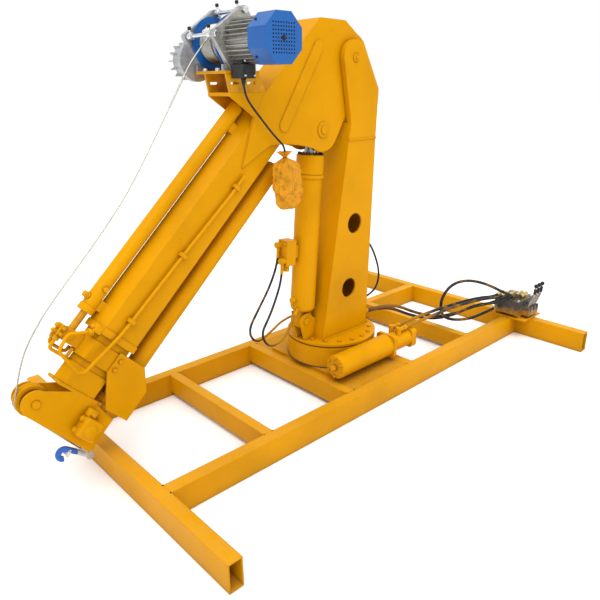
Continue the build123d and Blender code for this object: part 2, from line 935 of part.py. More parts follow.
upper_piston = upper_barrel_start + 2 * upper_barrel_radius
with BuildPart() as upper_rod:
    with BuildSketch(boom_section(upper_piston)):
        with Locations(upper_place):
            Circle(upper_barrel_radius - upper_barrel_wall - running)
    extrude(amount=upper_barrel_radius)
    with BuildSketch(boom_section(upper_piston)):
        with Locations(upper_place):
            Circle(upper_rod_radius)
    extrude(amount=upper_pin_station - upper_piston - upper_pin_radius)
    with BuildSketch(boom_side):
        with Locations((upper_pin_station, upper_axis_rise)):
            Circle(upper_eye_radius)
            Circle(upper_pin_radius, mode=Mode.SUBTRACT)
    extrude(amount=upper_rod_radius - slide_clear, both=True)
    with BuildSketch(boom_side):
        with Locations((upper_pin_station, upper_axis_rise)):
            Circle(upper_pin_radius)
    extrude(amount=upper_rod_radius, both=True, mode=Mode.SUBTRACT)
finish(upper_rod, "upper_rod")

with BuildPart() as lower_barrel:
    with BuildSketch(boom_section(lower_barrel_start)):
        with Locations(lower_place):
            Circle(lower_barrel_radius)
    extrude(amount=lower_barrel_end - lower_barrel_start)
    with BuildSketch(boom_section(lower_barrel_start + lower_barrel_radius)):
        with Locations(lower_place):
            Circle(lower_barrel_radius - lower_barrel_wall)
    extrude(amount=lower_barrel_end - lower_barrel_start - 2 * lower_barrel_radius, mode=Mode.SUBTRACT)
    with BuildSketch(boom_section(lower_barrel_start + lower_barrel_radius)):
        with Locations(lower_place):
            Circle(lower_rod_radius + running)
    extrude(amount=lower_barrel_end - lower_barrel_start, mode=Mode.SUBTRACT)
finish(lower_barrel, "lower_barrel")

# Brackets of the middle section: two lugs for the upper rod, and a stirrup round the lower barrel
middle_half = boom_width / 2 - middle_inset + collar_thickness
stirrup_low = -lower_axis_drop - bracket_depth
upper_lug_base = ridge_at(middle_inset - collar_thickness)
with BuildPart() as middle_brackets:
    for lug_face in (upper_rod_radius, -upper_rod_radius - bracket_plate):
        with BuildSketch(boom_side.offset(lug_face)):
            with Locations((upper_pin_station, upper_axis_rise)):
                Circle(upper_lug_radius)
            with Locations((upper_pin_station, (upper_axis_rise + upper_lug_base) / 2)):
                Rectangle(2 * upper_lug_radius, upper_axis_rise - upper_lug_base)
        extrude(amount=bracket_plate)
    with BuildSketch(boom_section(upper_pin_station - upper_lug_radius)):
        with Locations((0, upper_lug_base - upper_lug_radius / 4)):
            Rectangle(2 * (upper_rod_radius + bracket_plate), upper_lug_radius)
        six_sided(middle_inset - collar_thickness, mode=Mode.SUBTRACT)
    extrude(amount=2 * upper_lug_radius)
    with BuildSketch(boom_side):
        with Locations((upper_pin_station, upper_axis_rise)):
            Circle(upper_pin_radius)
    extrude(amount=upper_rod_radius + 2 * bracket_plate, both=True)
    for plate_face in (middle_half, -middle_half - bracket_plate):
        with BuildSketch(boom_side.offset(plate_face)):
            with BuildLine():
                Polyline(
                    (bracket_start, -ridge_rise),
                    (middle_reach, -ridge_rise),
                    (bracket_end, -lower_axis_drop + lower_barrel_radius),
                    (bracket_end, stirrup_low),
                    (bracket_start + bracket_depth, stirrup_low),
                    (bracket_start, -lower_axis_drop),
                    close=True,
                )
            make_face()
        extrude(amount=bracket_plate)
    with BuildSketch(boom_section(bracket_start + bracket_depth)):
        with Locations((0, stirrup_low + bracket_plate / 2)):
            Rectangle(2 * middle_half, bracket_plate)
    extrude(amount=bracket_end - bracket_start - bracket_depth)
    for band in (bracket_start + bracket_depth, bracket_end - bracket_band - bracket_depth / 2):
        with BuildSketch(boom_section(band)):
            with Locations((0, (stirrup_low - lower_axis_drop) / 2)):
                Rectangle(2 * middle_half, bracket_depth)
            with Locations(lower_place):
                Circle(lower_barrel_radius, mode=Mode.SUBTRACT)
        extrude(amount=bracket_band)
finish(middle_brackets, "middle_brackets")

# Inner section with the head welded on its end
with BuildPart() as inner_section:
    with BuildSketch(boom_section(-inner_tail)):
        six_sided(inner_inset)
    extrude(amount=inner_tail + inner_reach)
    with BuildSketch(boom_section(middle_reach + collar_length)):
        six_sided(inner_inset - collar_thickness)
    extrude(amount=inner_reach - middle_reach - collar_length)
    with BuildSketch(boom_section(-inner_tail)):
        six_sided(inner_inset + section_wall)
    extrude(amount=inner_tail + inner_reach, mode=Mode.SUBTRACT)
finish(inner_section, "inner_section")

with BuildPart() as inner_wear_pad:
    with BuildSketch(boom_section(-inner_tail)):
        six_sided(middle_inset + section_wall + slide_clear)
        six_sided(inner_inset, mode=Mode.SUBTRACT)
    extrude(amount=wear_pad_length)
finish(inner_wear_pad, "inner_wear_pad")

cheek_inner = cheek_gap / 2
cheek_outer = cheek_inner + cheek_thickness
head_start = inner_reach + head_plate_thickness
sheave_mark = (head_pin_station, sheave_rise)
rod_mark = (head_pin_station, -lower_axis_drop)
with BuildPart() as boom_head:
    with BuildSketch(boom_section(inner_reach)):
        with Locations((0, 0)):
            Rectangle(2 * cheek_outer, 2 * ridge_at(inner_inset))
    extrude(amount=head_plate_thickness)
    for cheek_face in (cheek_inner, -cheek_outer):
        with BuildSketch(boom_side.offset(cheek_face)):
            with BuildLine():
                Polyline(
                    (head_start, -ridge_at(inner_inset)),
                    (head_start, cheek_waist_rise),
                    (head_pin_station - head_round, sheave_rise),
                    sheave_mark,
                    (inner_reach + cheek_top_overhang, sheave_rise),
                    (inner_reach + cheek_nose_overhang, -cheek_drop),
                    (inner_reach + cheek_back_overhang, -cheek_drop),
                    close=True,
                )
            make_face()
            with Locations(sheave_mark):
                Circle(head_round)
                Circle(sheave_pin_radius, mode=Mode.SUBTRACT)
            with Locations(rod_mark):
                Circle(rod_pin_radius, mode=Mode.SUBTRACT)
        extrude(amount=cheek_thickness)
finish(boom_head, "boom_head")

with BuildPart() as head_pins:
    for mark, radius in ((sheave_mark, sheave_pin_radius), (rod_mark, rod_pin_radius)):
        with BuildSketch(boom_side):
            with Locations(mark):
                Circle(radius)
        extrude(amount=cheek_outer + cheek_thickness, both=True)
finish(head_pins, "head_pins")

lower_piston = lower_barrel_start + 2 * lower_barrel_radius
with BuildPart() as lower_rod:
    with BuildSketch(boom_section(lower_piston)):
        with Locations(lower_place):
            Circle(lower_barrel_radius - lower_barrel_wall - running)
    extrude(amount=lower_barrel_radius)
    with BuildSketch(boom_section(lower_piston)):
        with Locations(lower_place):
            Circle(lower_rod_radius)
    extrude(amount=head_pin_station - lower_piston - rod_pin_radius)
    with BuildSketch(boom_side):
        with Locations(rod_mark):
            RectangleRounded(rod_block_length, rod_block_height, rod_pin_radius / 2)
    extrude(amount=cheek_inner - slide_clear, both=True)
    with BuildSketch(boom_side):
        with Locations(rod_mark):
            Circle(rod_pin_radius)
    extrude(amount=cheek_inner, both=True, mode=Mode.SUBTRACT)
finish(lower_rod, "lower_rod")

sheave_half = sheave_width / 2
groove_half = 1.5 * rope_diameter
with BuildPart() as sheave:
    with BuildSketch(Plane(origin=on_boom(*sheave_mark), x_dir=above, z_dir=along)):
        with BuildLine():
            Polyline(
                (sheave_pin_radius + running, -cheek_inner + slide_clear),
                (sheave_hub_radius, -cheek_inner + slide_clear),
                (sheave_hub_radius, -sheave_half / 2),
                (sheave_groove_radius - rope_diameter, -sheave_half / 2),
                (sheave_groove_radius - rope_diameter, -sheave_half),
                (sheave_radius, -sheave_half),
                (sheave_radius, -groove_half - rope_diameter / 2),
                (sheave_groove_radius, -groove_half + rope_diameter / 2),
                (sheave_groove_radius, groove_half - rope_diameter / 2),
                (sheave_radius, groove_half + rope_diameter / 2),
                (sheave_radius, sheave_half),
                (sheave_groove_radius - rope_diameter, sheave_half),
                (sheave_groove_radius - rope_diameter, sheave_half / 2),
                (sheave_hub_radius, sheave_half / 2),
                (sheave_hub_radius, cheek_inner - slide_clear),
                (sheave_pin_radius + running, cheek_inner - slide_clear),
                close=True,
            )
        make_face()
    revolve(axis=Axis(on_boom(*sheave_mark), (0, 1, 0)))
finish(sheave, "sheave")

# Lifting hook: a round bar bent from its shank into a bowl, with a forked safety latch
hook_plane = near_side.offset(-hook_y)
sheave_place = on_boom(*sheave_mark)
hook_shank = Vector(round(sheave_place.X + hook_shank_setback), round(sheave_place.Z - hook_shank_drop))
hook_bowl = hook_shank + Vector(-hook_bowl_ahead, hook_bowl_rise)
hook_reach = (hook_bowl - hook_shank).length
hook_heading = math.atan2(hook_bowl.Y - hook_shank.Y, hook_bowl.X - hook_shank.X)
hook_spread = math.asin(hook_bowl_radius / hook_reach)
neck_length = math.sqrt(hook_reach**2 - hook_bowl_radius**2)
neck_heading = hook_heading - hook_spread
neck_way = Vector(math.cos(neck_heading), math.sin(neck_heading))
neck_end = hook_shank + neck_way * neck_length
bowl_sweep = 205


def on_bowl(turn):
    angle = neck_heading - math.pi / 2 + math.radians(turn)
    return hook_bowl + Vector(math.cos(angle), math.sin(angle)) * hook_bowl_radius


def flat(vector):
    return (vector.X, vector.Y)


with BuildPart() as hook:
    with BuildLine(hook_plane) as hook_line:
        Line(flat(hook_shank), flat(neck_end))
        ThreePointArc(flat(neck_end), flat(on_bowl(bowl_sweep / 2)), flat(on_bowl(bowl_sweep)))
    with BuildSketch(Plane(origin=hook_line.line @ 0, z_dir=hook_line.line % 0)):
        Circle(hook_bar_radius)
    sweep()
    with BuildSketch(hook_plane):
        with Locations(flat(hook_shank)):
            Circle(hook_eye_radius)
    extrude(amount=hook_bar_radius, both=True)
    with BuildSketch(hook_plane):
        with Locations(flat(hook_shank)):
            Circle(hook_pin_radius)
    extrude(amount=-hook_bar_radius - 2 * rope_diameter)
    latch_pivot = hook_shank + neck_way * (neck_length - latch_setback)
    with BuildSketch(hook_plane):
        with Locations(flat(latch_pivot)):
            Circle(latch_pin_radius)
    extrude(amount=hook_bar_radius + latch_thickness + slide_clear, both=True)
finish(hook, "hook")

latch_end = hook_bowl + neck_way * (-latch_setback)
with BuildPart() as hook_latch:
    for latch_face in (hook_bar_radius + slide_clear, -hook_bar_radius - slide_clear - latch_thickness):
        with BuildSketch(hook_plane.offset(latch_face)):
            with Locations(flat(latch_pivot)):
                Circle(latch_width / 2)
            with Locations(flat(latch_end)):
                Circle(latch_width / 2)
            make_hull()
            with Locations(flat(latch_pivot)):
                Circle(latch_pin_radius + running, mode=Mode.SUBTRACT)
        extrude(amount=latch_thickness)
    with BuildSketch(hook_plane):
        with Locations(flat(latch_end)):
            Circle(latch_width / 3)
    extrude(amount=hook_bar_radius + slide_clear, both=True)
finish(hook_latch, "hook_latch")

# Winch shelf: a level plate on the root's top edge, held by two gussets in line with the root plates
winch_axis = (winch_x, winch_z)


def root_top_x(z):
    station = (z - boom_origin.Z - above.Z * root_top) / along.Z
    return on_boom(station, root_top).X


shelf_bottom = shelf_top - shelf_thickness
root_step = on_boom(root_nose - root_nose_length, root_top - root_nose_step)
root_brow = on_boom(root_top_front, root_top)
with BuildPart() as winch_shelf:
    with BuildSketch(near_side):
        Polygon(
            (shelf_front_x, shelf_bottom),
            (root_top_x(shelf_bottom), shelf_bottom),
            (root_top_x(shelf_top), shelf_top),
            (shelf_front_x, shelf_top),
            align=None,
        )
    extrude(amount=root_outer, both=True)
    for gusset_face in (root_inner, -root_outer):
        with BuildSketch(near_side.offset(gusset_face)):
            Polygon(
                (shelf_front_x, shelf_bottom),
                (root_step.X, root_step.Z),
                (root_brow.X, root_brow.Z),
                (root_top_x(shelf_bottom), shelf_bottom),
                align=None,
            )
        extrude(amount=root_thickness)
finish(winch_shelf, "winch_shelf")

def rod_places():
    # Tie rods stand at three corners of the tilted plates; the fourth corner is cut off by the base.
    first = frame_plate_turn - 45
    return PolarLocations(tie_rod_reach, tie_rod_count, start_angle=first, angular_range=90 * tie_rod_count)


def winch_plate():
    with Locations(winch_axis):
        RectangleRounded(frame_plate_size, frame_plate_size, frame_plate_corner, rotation=frame_plate_turn)
    with Locations((winch_x, base_top - frame_plate_size / 2)):
        Rectangle(2 * frame_plate_size, frame_plate_size, mode=Mode.SUBTRACT)
    with Locations(winch_axis):
        with rod_places():
            Circle(tie_rod_radius, mode=Mode.SUBTRACT)


# Winch frame: a base on two risers and two upright plates that carry the drum's shaft
base_bottom = base_top - base_thickness
drum_near = frame_plate_y + frame_plate_thickness + drum_gap
far_plate_y = drum_near + drum_length + drum_gap
base_far = far_plate_y + frame_plate_thickness
with BuildPart() as winch_frame:
    with BuildSketch(Plane.XY.offset(base_bottom)):
        with Locations((winch_x, (base_near + base_far) / 2)):
            Rectangle(base_length, base_far - base_near)
    extrude(amount=base_thickness)
    for plate_y in (frame_plate_y, far_plate_y):
        with BuildSketch(near_side.offset(-plate_y)):
            winch_plate()
            with Locations((winch_x, base_top + base_thickness)):
                Rectangle(base_length, 2 * base_thickness)
            with Locations(winch_axis):
                Circle(drum_bore_radius + running, mode=Mode.SUBTRACT)
        extrude(amount=-frame_plate_thickness)
    for riser_face in (root_outer - riser_thickness, -root_outer):
        with BuildSketch(near_side.offset(riser_face)):
            Polygon(
                (winch_x - base_length / 2, base_bottom),
                (shelf_front_x, shelf_top),
                (root_top_x(shelf_top), shelf_top),
                (winch_x + base_length / 2, base_bottom),
                align=None,
            )
            with Locations((winch_x, (base_bottom + shelf_top) / 2)):
                with Locations((-base_length / 4, 0), (base_length / 4, 0)):
                    SlotOverall(base_length / 4, riser_thickness, mode=Mode.SUBTRACT)
        extrude(amount=riser_thickness)
finish(winch_frame, "winch_frame")

# Drum between the plates, and the outer layer of rope wound on its core as one helix
winding_radius = drum_core_radius + slide_clear + rope_diameter / 2
with BuildPart() as drum:
    with BuildSketch(near_side.offset(-drum_near)):
        with Locations(winch_axis):
            Circle(drum_flange_radius)
    extrude(amount=-drum_flange_thickness)
    with BuildSketch(near_side.offset(-drum_near - drum_length)):
        with Locations(winch_axis):
            Circle(drum_flange_radius)
    extrude(amount=drum_flange_thickness)
    with BuildSketch(near_side.offset(-drum_near)):
        with Locations(winch_axis):
            Circle(drum_core_radius)
    extrude(amount=-drum_length)
    with BuildSketch(near_side.offset(-frame_plate_y)):
        with Locations(winch_axis):
            Circle(drum_bore_radius)
    extrude(amount=frame_plate_y - base_far)
finish(drum, "drum")


def tangent_from(point, centre, radius, side):
    # Where a tight line from a point touches a round thing, on one of its two sides.
    reach = (point - centre).length
    heading = math.atan2(point.Y - centre.Y, point.X - centre.X)
    angle = heading + side * math.acos(radius / reach)
    return centre + Vector(math.cos(angle), math.sin(angle)) * radius


rope_first = Vector(-790, 1665)
winch_centre = Vector(winch_x, winch_z)
rope_leave = tangent_from(rope_first, winch_centre, winding_radius, -1)
leave_angle = math.atan2(rope_leave.Y - winch_z, rope_leave.X - winch_x)
winding_width = winding_turns * winding_pitch + rope_diameter / 2 + winding_margin
winding_near = drum_near + drum_length - drum_flange_thickness - winding_width
print("rope leaves the drum at", rope_leave, math.degrees(leave_angle))


def on_winding(half_turn):
    angle = leave_angle - math.pi * half_turn
    y = winding_near + winding_pitch * half_turn / 2
    radius = winding_radius
    return Vector(winch_x + radius * math.cos(angle), y, winch_z + radius * math.sin(angle))


def winding_way(half_turn):
    angle = leave_angle - math.pi * half_turn
    speed = winding_radius * math.pi
    way = Vector(speed * math.sin(angle), winding_pitch / 2, -speed * math.cos(angle))
    return way.normalized()


def biarc_middle(start, start_way, end, end_way):
    chord = end - start
    total = start_way + end_way
    bend = 2 * (1 - start_way.dot(end_way))
    pull = (-chord.dot(total) + math.sqrt(chord.dot(total) ** 2 + bend * chord.dot(chord))) / bend
    return (start + start_way * pull + end - end_way * pull) * 0.5


with BuildPart() as rope_winding:
    with BuildLine() as turns:
        lead = Line(on_winding(0) - winding_way(0) * rope_diameter, on_winding(0))
        for half in range(2 * winding_turns):
            near_end = on_winding(half)
            far_end = on_winding(half + 1)
            middle = biarc_middle(near_end, winding_way(half), far_end, winding_way(half + 1))
            first = TangentArc(near_end, middle, tangent=winding_way(half))
            TangentArc(middle, far_end, tangent=first % 1)
        tail_way = winding_way(2 * winding_turns)
        Line(on_winding(2 * winding_turns), on_winding(2 * winding_turns) + tail_way * rope_diameter)
    with BuildSketch(Plane(origin=turns.line @ 0, z_dir=turns.line % 0)):
        Circle(rope_diameter / 2)
    sweep()
samples = gap_samples * winding_turns
spots = [turns.line @ (index / samples) for index in range(samples + 1)]
winding_gap = min(
    (spots[index] - spots[other]).length - rope_diameter
    for index in range(samples + 1)
    for other in range(index + gap_skip, samples + 1)
)
print("least gap between the rope's turns", round(winding_gap, 3))
finish(rope_winding, "rope_winding")

# Finned winch motor on the near plate, with its fan, perforated cover and terminal box
motor_back = frame_plate_y - motor_length
shield_flats = fan_cover_width - 2 * fan_cover_wall
terminal_top = winch_z - motor_radius + fin_root
terminal_face = winch_z - fin_radius - terminal_gap
with BuildPart() as winch_motor:
    with BuildSketch(near_side.offset(-frame_plate_y)):
        winch_plate()
        with Locations(winch_axis):
            Circle(drum_bore_radius + running, mode=Mode.SUBTRACT)
    extrude(amount=frame_plate_thickness)
    with BuildSketch(near_side.offset(-frame_plate_y + frame_plate_thickness)):
        with Locations(winch_axis):
            Circle(motor_radius)
            with PolarLocations((fin_radius + motor_radius) / 2, fin_count):
                Rectangle(fin_radius - motor_radius + fin_root, fin_thickness)
    extrude(amount=motor_length - 2 * frame_plate_thickness)
    with BuildSketch(near_side.offset(-motor_back)):
        with Locations(winch_axis):
            RegularPolygon(shield_flats / 2, 8, major_radius=False, rotation=22.5)
    extrude(amount=-frame_plate_thickness)
    with BuildSketch(near_side.offset(-motor_back)):
        with Locations(winch_axis):
            Circle(fan_hub_radius / 2 + running)
    extrude(amount=-fan_cover_depth / 2, mode=Mode.SUBTRACT)
    with BuildSketch(Plane.XY.offset(terminal_top)):
        with Locations((terminal_x, terminal_y)):
            Rectangle(terminal_neck, terminal_neck)
    extrude(amount=-motor_radius, mode=Mode.SUBTRACT)
finish(winch_motor, "winch_motor")

cover_front = motor_back - fan_cover_depth
with BuildPart() as fan_cover:
    with BuildSketch(near_side.offset(-cover_front)):
        with Locations(winch_axis):
            RegularPolygon(fan_cover_width / 2, 8, major_radius=False, rotation=22.5)
    extrude(amount=-fan_cover_depth - frame_plate_thickness)
    with BuildSketch(near_side.offset(-cover_front - fan_cover_wall)):
        with Locations(winch_axis):
            RegularPolygon(shield_flats / 2, 8, major_radius=False, rotation=22.5)
    extrude(amount=-fan_cover_depth - frame_plate_thickness, mode=Mode.SUBTRACT)
    with BuildSketch(near_side.offset(-cover_front)):
        with Locations(winch_axis):
            with GridLocations(grid_pitch, grid_pitch, grid_count, grid_count):
                Rectangle(grid_hole, grid_hole)
    extrude(amount=-fan_cover_wall, mode=Mode.SUBTRACT)
finish(fan_cover, "fan_cover")

with BuildPart() as fan:
    with BuildSketch(near_side.offset(-motor_back + fan_cover_depth / 4)):
        with Locations(winch_axis):
            Circle(fan_hub_radius)
            with PolarLocations((fan_radius + fan_hub_radius) / 2, fan_blades):
                Rectangle(fan_radius - fan_hub_radius + fin_root, fin_thickness)
    extrude(amount=fan_cover_depth / 3)
    with BuildSketch(near_side.offset(-motor_back + fan_cover_depth / 3)):
        with Locations(winch_axis):
            Circle(fan_hub_radius / 2)
    extrude(amount=-fan_cover_depth / 3 - fan_cover_depth / 3)
finish(fan, "fan")

with BuildPart() as terminal_box:
    with BuildSketch(Plane.XY.offset(terminal_top)):
        with Locations((terminal_x, terminal_y)):
            Rectangle(terminal_neck, terminal_neck)
    extrude(amount=terminal_face - terminal_top)
    with BuildSketch(Plane.XY.offset(terminal_face)):
        with Locations((terminal_x, terminal_y)):
            RectangleRounded(terminal_width, terminal_length, terminal_corner)
    extrude(amount=-terminal_height)
finish(terminal_box, "terminal_box")

# Cast gearbox beyond the far plate: a flange, then a round case set low, with ribs on its stepped cover
gearbox_axis = (winch_x - gearbox_shift, winch_z - gearbox_drop)
gearbox_face = near_side.offset(-base_far - gearbox_flange)
with BuildPart() as gearbox:
    with BuildSketch(near_side.offset(-base_far)):
        winch_plate()
    extrude(amount=-gearbox_flange)
    with BuildSketch(gearbox_face):
        with Locations(gearbox_axis):
            Circle(gearbox_radius)
    extrude(amount=-gearbox_rim)
    with BuildSketch(gearbox_face):
        with Locations(gearbox_axis):
            Circle(gearbox_radius - gearbox_step)
    extrude(amount=-gearbox_length + gearbox_cover)
    with BuildSketch(gearbox_face):
        with Locations(gearbox_axis):
            Circle(gearbox_radius - 2 * gearbox_step)
            with PolarLocations(gearbox_radius / 2, gearbox_ribs):
                Rectangle(gearbox_radius - gearbox_step, gearbox_rib)
    extrude(amount=-gearbox_length)
finish(gearbox, "gearbox")

rod_far = base_far + gearbox_flange
rod_near = frame_plate_y - frame_plate_thickness
with BuildPart() as tie_rods:
    with BuildSketch(near_side.offset(-rod_near + rod_nut)):
        with Locations(winch_axis):
            with rod_places():
                Circle(tie_rod_radius)
    extrude(amount=rod_near - rod_far - 2 * rod_nut)
    for nut_y in (rod_near, rod_far + rod_nut):
        with BuildSketch(near_side.offset(-nut_y)):
            with Locations(winch_axis):
                with rod_places():
                    RegularPolygon(rod_nut_radius, 6)
        extrude(amount=rod_nut)
finish(tie_rods, "tie_rods")


# Cords and hoses: round tubes on straight runs joined by arcs as wide as the runs allow
def route_radii(points, held=None):
    held = held or {}
    radii = []
    for index in range(1, len(points) - 1):
        before = points[index] - points[index - 1]
        after = points[index + 1] - points[index]
        turn = math.radians(before.get_angle(after))
        shorter = min(before.length, after.length)
        radii.append(held.get(index, 0.45 * shorter / math.tan(turn / 2)))
    return radii


def route_report(name, radii, builder, diameter, volume):
    length = sum(edge.length for edge in builder.edges())
    share = volume / (math.pi * diameter**2 / 4 * length)
    print(name, "radii", [round(r) for r in radii], "length", round(length), "volume share", round(share, 4))


# Rope from the drum over the head sheave to the hook
sheave_centre = Vector(sheave_place.X, sheave_place.Z)
rope_run_radius = sheave_groove_radius + slide_clear + rope_diameter / 2
rope_before_sheave = Vector(-1643, 598)
enter = tangent_from(rope_before_sheave, sheave_centre, rope_run_radius, 1)
depart = tangent_from(hook_shank, sheave_centre, rope_run_radius, -1)
enter_out = (enter - sheave_centre).normalized()
depart_out = (depart - sheave_centre).normalized()
half_wrap = math.radians(enter_out.get_angle(depart_out)) / 2
corner_reach = rope_run_radius / math.cos(half_wrap)
sheave_corner = sheave_centre + (enter_out + depart_out).normalized() * corner_reach
hook_end = hook_shank + (depart - hook_shank).normalized() * (hook_pin_radius + slide_clear)
rope_flat = [
    rope_first,
    Vector(-845, 1586),
    Vector(-940, 1446),
    Vector(-1124, 1184),
    Vector(-1246, 1050),
    Vector(-1352, 943),
    Vector(-1520, 781),
    Vector(-1602, 676),
    rope_before_sheave,
]
rope_start = on_winding(0) - winding_way(0) * (rope_diameter + slide_clear)
rope_span = (rope_flat[-1] - rope_leave).length
rope_points = [rope_start]
for mark in rope_flat:
    fleet = winding_near * (1 - (mark - rope_leave).length / rope_span)
    rope_points.append(Vector(mark.X, fleet, mark.Y))
rope_points.append(Vector(sheave_corner.X, 0, sheave_corner.Y))
rope_points.append(Vector(hook_end.X, hook_y + hook_bar_radius + rope_diameter, hook_end.Y))
with BuildPart() as rope:
    with BuildLine() as rope_line:
        rope_radii = route_radii(rope_points, {len(rope_points) - 2: rope_run_radius})
        FilletPolyline(*rope_points, radius=rope_radii)
    with BuildSketch(Plane(origin=rope_line.line @ 0, z_dir=rope_line.line % 0)):
        Circle(rope_diameter / 2)
    sweep()
route_report("rope", rope_radii, rope_line, rope_diameter, rope.part.volume)
finish(rope, "rope")

# Valve bank on its bracket over the rear beam, spools across the beam and levers at the near end
bank_half = (spool_count + 2) * section_pitch / 2
bank_bottom = beam_top + bracket_thickness + bank_clear
bank_top = bank_bottom + bank_height
bank_near = valve_bank_y - bank_length
lever_near = bank_near - lever_box_length
lever_pin_z = bank_bottom + lever_box_height - lever_hub_radius
lever_y = bank_near - lever_box_length / 2
spool_places = [
    valve_bank_x + (place - (spool_count - 1) / 2) * section_pitch for place in range(spool_count)
]
port_columns = [spool_places[0], *spool_places, spool_places[-1]]
with BuildPart() as valve_bracket:
    with BuildSketch(Plane.XY.offset(beam_top)):
        with Locations((valve_bank_x, (valve_bank_y + lever_near) / 2)):
            Rectangle(2 * bank_half, bank_length + lever_box_length)
    extrude(amount=bracket_thickness)
    for foot_y in (valve_bank_y - bank_clear, bank_near + bank_clear):
        with BuildSketch(Plane.XY.offset(beam_top + bracket_thickness)):
            with Locations((valve_bank_x, foot_y)):
                Rectangle(2 * bank_half - section_pitch, 2 * bank_clear)
        extrude(amount=bank_clear)
finish(valve_bracket, "valve_bracket")

with BuildPart() as valve_bank:
    with BuildSketch(Plane.XY.offset(bank_bottom)):
        with Locations((valve_bank_x, (valve_bank_y + bank_near) / 2)):
            Rectangle(2 * bank_half, bank_length)
    extrude(amount=bank_height)
    with BuildSketch(Plane.XY.offset(bank_top)):
        with Locations((valve_bank_x, (valve_bank_y + bank_near) / 2)):
            with GridLocations(section_pitch, 1, spool_count + 1, 1):
                Rectangle(section_groove, bank_length)
    extrude(amount=-section_groove_depth, mode=Mode.SUBTRACT)
    with BuildSketch(Plane.XY.offset(bank_bottom)):
        with Locations((valve_bank_x, lever_y)):
            Rectangle(spool_count * section_pitch, lever_box_length)
    extrude(amount=lever_box_height)
    for spool_x in spool_places:
        with BuildSketch(Plane.XY.offset(bank_bottom + lever_box_height)):
            with Locations((spool_x, lever_y)):
                Rectangle(lever_slot, lever_box_length)
        extrude(amount=-2 * lever_hub_radius - lever_floor, mode=Mode.SUBTRACT)
    with BuildSketch(across.offset(valve_bank_x - spool_count * section_pitch / 2)):
        with Locations((lever_y, lever_pin_z)):
            Circle(lever_pin_radius)
    extrude(amount=spool_count * section_pitch)
    for spool_x, port_y in zip(port_columns, bank_ports):
        with BuildSketch(Plane.XY.offset(bank_top)):
            with Locations((spool_x, port_y)):
                Circle(union_radius)
        extrude(amount=union_height + union_radius)
        with BuildSketch(across.offset(spool_x)):
            with Locations((port_y, bank_top + union_height)):
                Circle(union_radius)
        extrude(amount=-union_reach)
    with BuildSketch(across.offset(valve_bank_x - bank_half)):
        with Locations((front_inlet_y, bank_bottom + front_inlet_rise)):
            Circle(union_radius)
    extrude(amount=-union_reach)
finish(valve_bank, "valve_bank")

lean = math.radians(lever_lean)
knee_y = lever_y - lever_rise * math.sin(lean) * lever_knee
for lever_name, spool_x in zip(("slew_lever", "luff_lever", "extend_lever"), spool_places):
    with BuildPart() as lever:
        with BuildSketch(across.offset(spool_x - lever_slot / 2 + slide_clear)):
            with Locations((lever_y, lever_pin_z)):
                Circle(lever_hub_radius)
        extrude(amount=lever_slot - 2 * slide_clear)
        with BuildLine(across.offset(spool_x)) as stem:
            Polyline(
                (lever_y, lever_pin_z),
                (knee_y, lever_pin_z + lever_rise * math.cos(lean) * lever_knee),
                (knee_y - lever_kick, lever_pin_z + lever_rise * math.cos(lean)),
            )
        with BuildSketch(Plane(origin=stem.line @ 0, z_dir=stem.line % 0)):
            Circle(lever_radius)
        sweep(transition=Transition.ROUND)
        with BuildSketch(across.offset(spool_x - lever_slot / 2)):
            with Locations((lever_y, lever_pin_z)):
                Circle(lever_pin_radius + running)
        extrude(amount=lever_slot, mode=Mode.SUBTRACT)
        with Locations(stem.line @ 1):
            Sphere(lever_knob_radius)
    finish(lever, lever_name)

# Hoses from the slew motor, along the rail to the valve bank
motor_port_x = motor_start + port_setback
bank_inlets = [
    Vector(spool_x - union_reach, port_y, bank_top + union_height)
    for spool_x, port_y in zip(port_columns, bank_ports)
]


def hose(name, routes, diameter):
    with BuildPart() as hoses:
        for route in routes:
            points = [Vector(*point) for point in route]
            volume_before = hoses.part.volume if hoses.part else 0
            with BuildLine() as line:
                radii = route_radii(points)
                FilletPolyline(*points, radius=radii)
            with BuildSketch(Plane(origin=line.line @ 0, z_dir=line.line % 0)):
                Circle(diameter / 2)
            sweep()
            route_report(name, radii, line, diameter, hoses.part.volume - volume_before)
    finish(hoses, name)


slew_routes = []
for side, inlet in zip((1, -1), bank_inlets):
    exit_y = -worm_offset + side * port_spacing / 2
    slew_routes.append(
        [
            (motor_port_x + union_reach, exit_y, port_exit_z),
            (motor_port_x + 130, exit_y, port_exit_z),
            (520, exit_y - 20, 292),
            (710, inlet.Y + 44, 300),
            (890, inlet.Y + 16, 300),
            (1040, inlet.Y + 2, 284),
            (1150, inlet.Y, inlet.Z),
            (inlet.X, inlet.Y, inlet.Z),
        ]
    )
loop_inlet = bank_inlets[-1]
loop_end_z = bank_bottom + front_inlet_rise
slew_routes.append(
    [
        (loop_inlet.X, loop_inlet.Y, loop_inlet.Z),
        (1240, loop_inlet.Y, loop_inlet.Z),
        (1120, -432, 318),
        (985, -380, 395),
        (850, -330, 440),
        (735, -292, 430),
        (668, -270, 350),
        (690, -262, 238),
        (775, -275, 182),
        (905, -330, 165),
        (1040, -354, 178),
        (1112, front_inlet_y, loop_end_z),
        (valve_bank_x - bank_half - union_reach, front_inlet_y, loop_end_z),
    ]
)
hose("slew_hoses", slew_routes, hose_diameter)

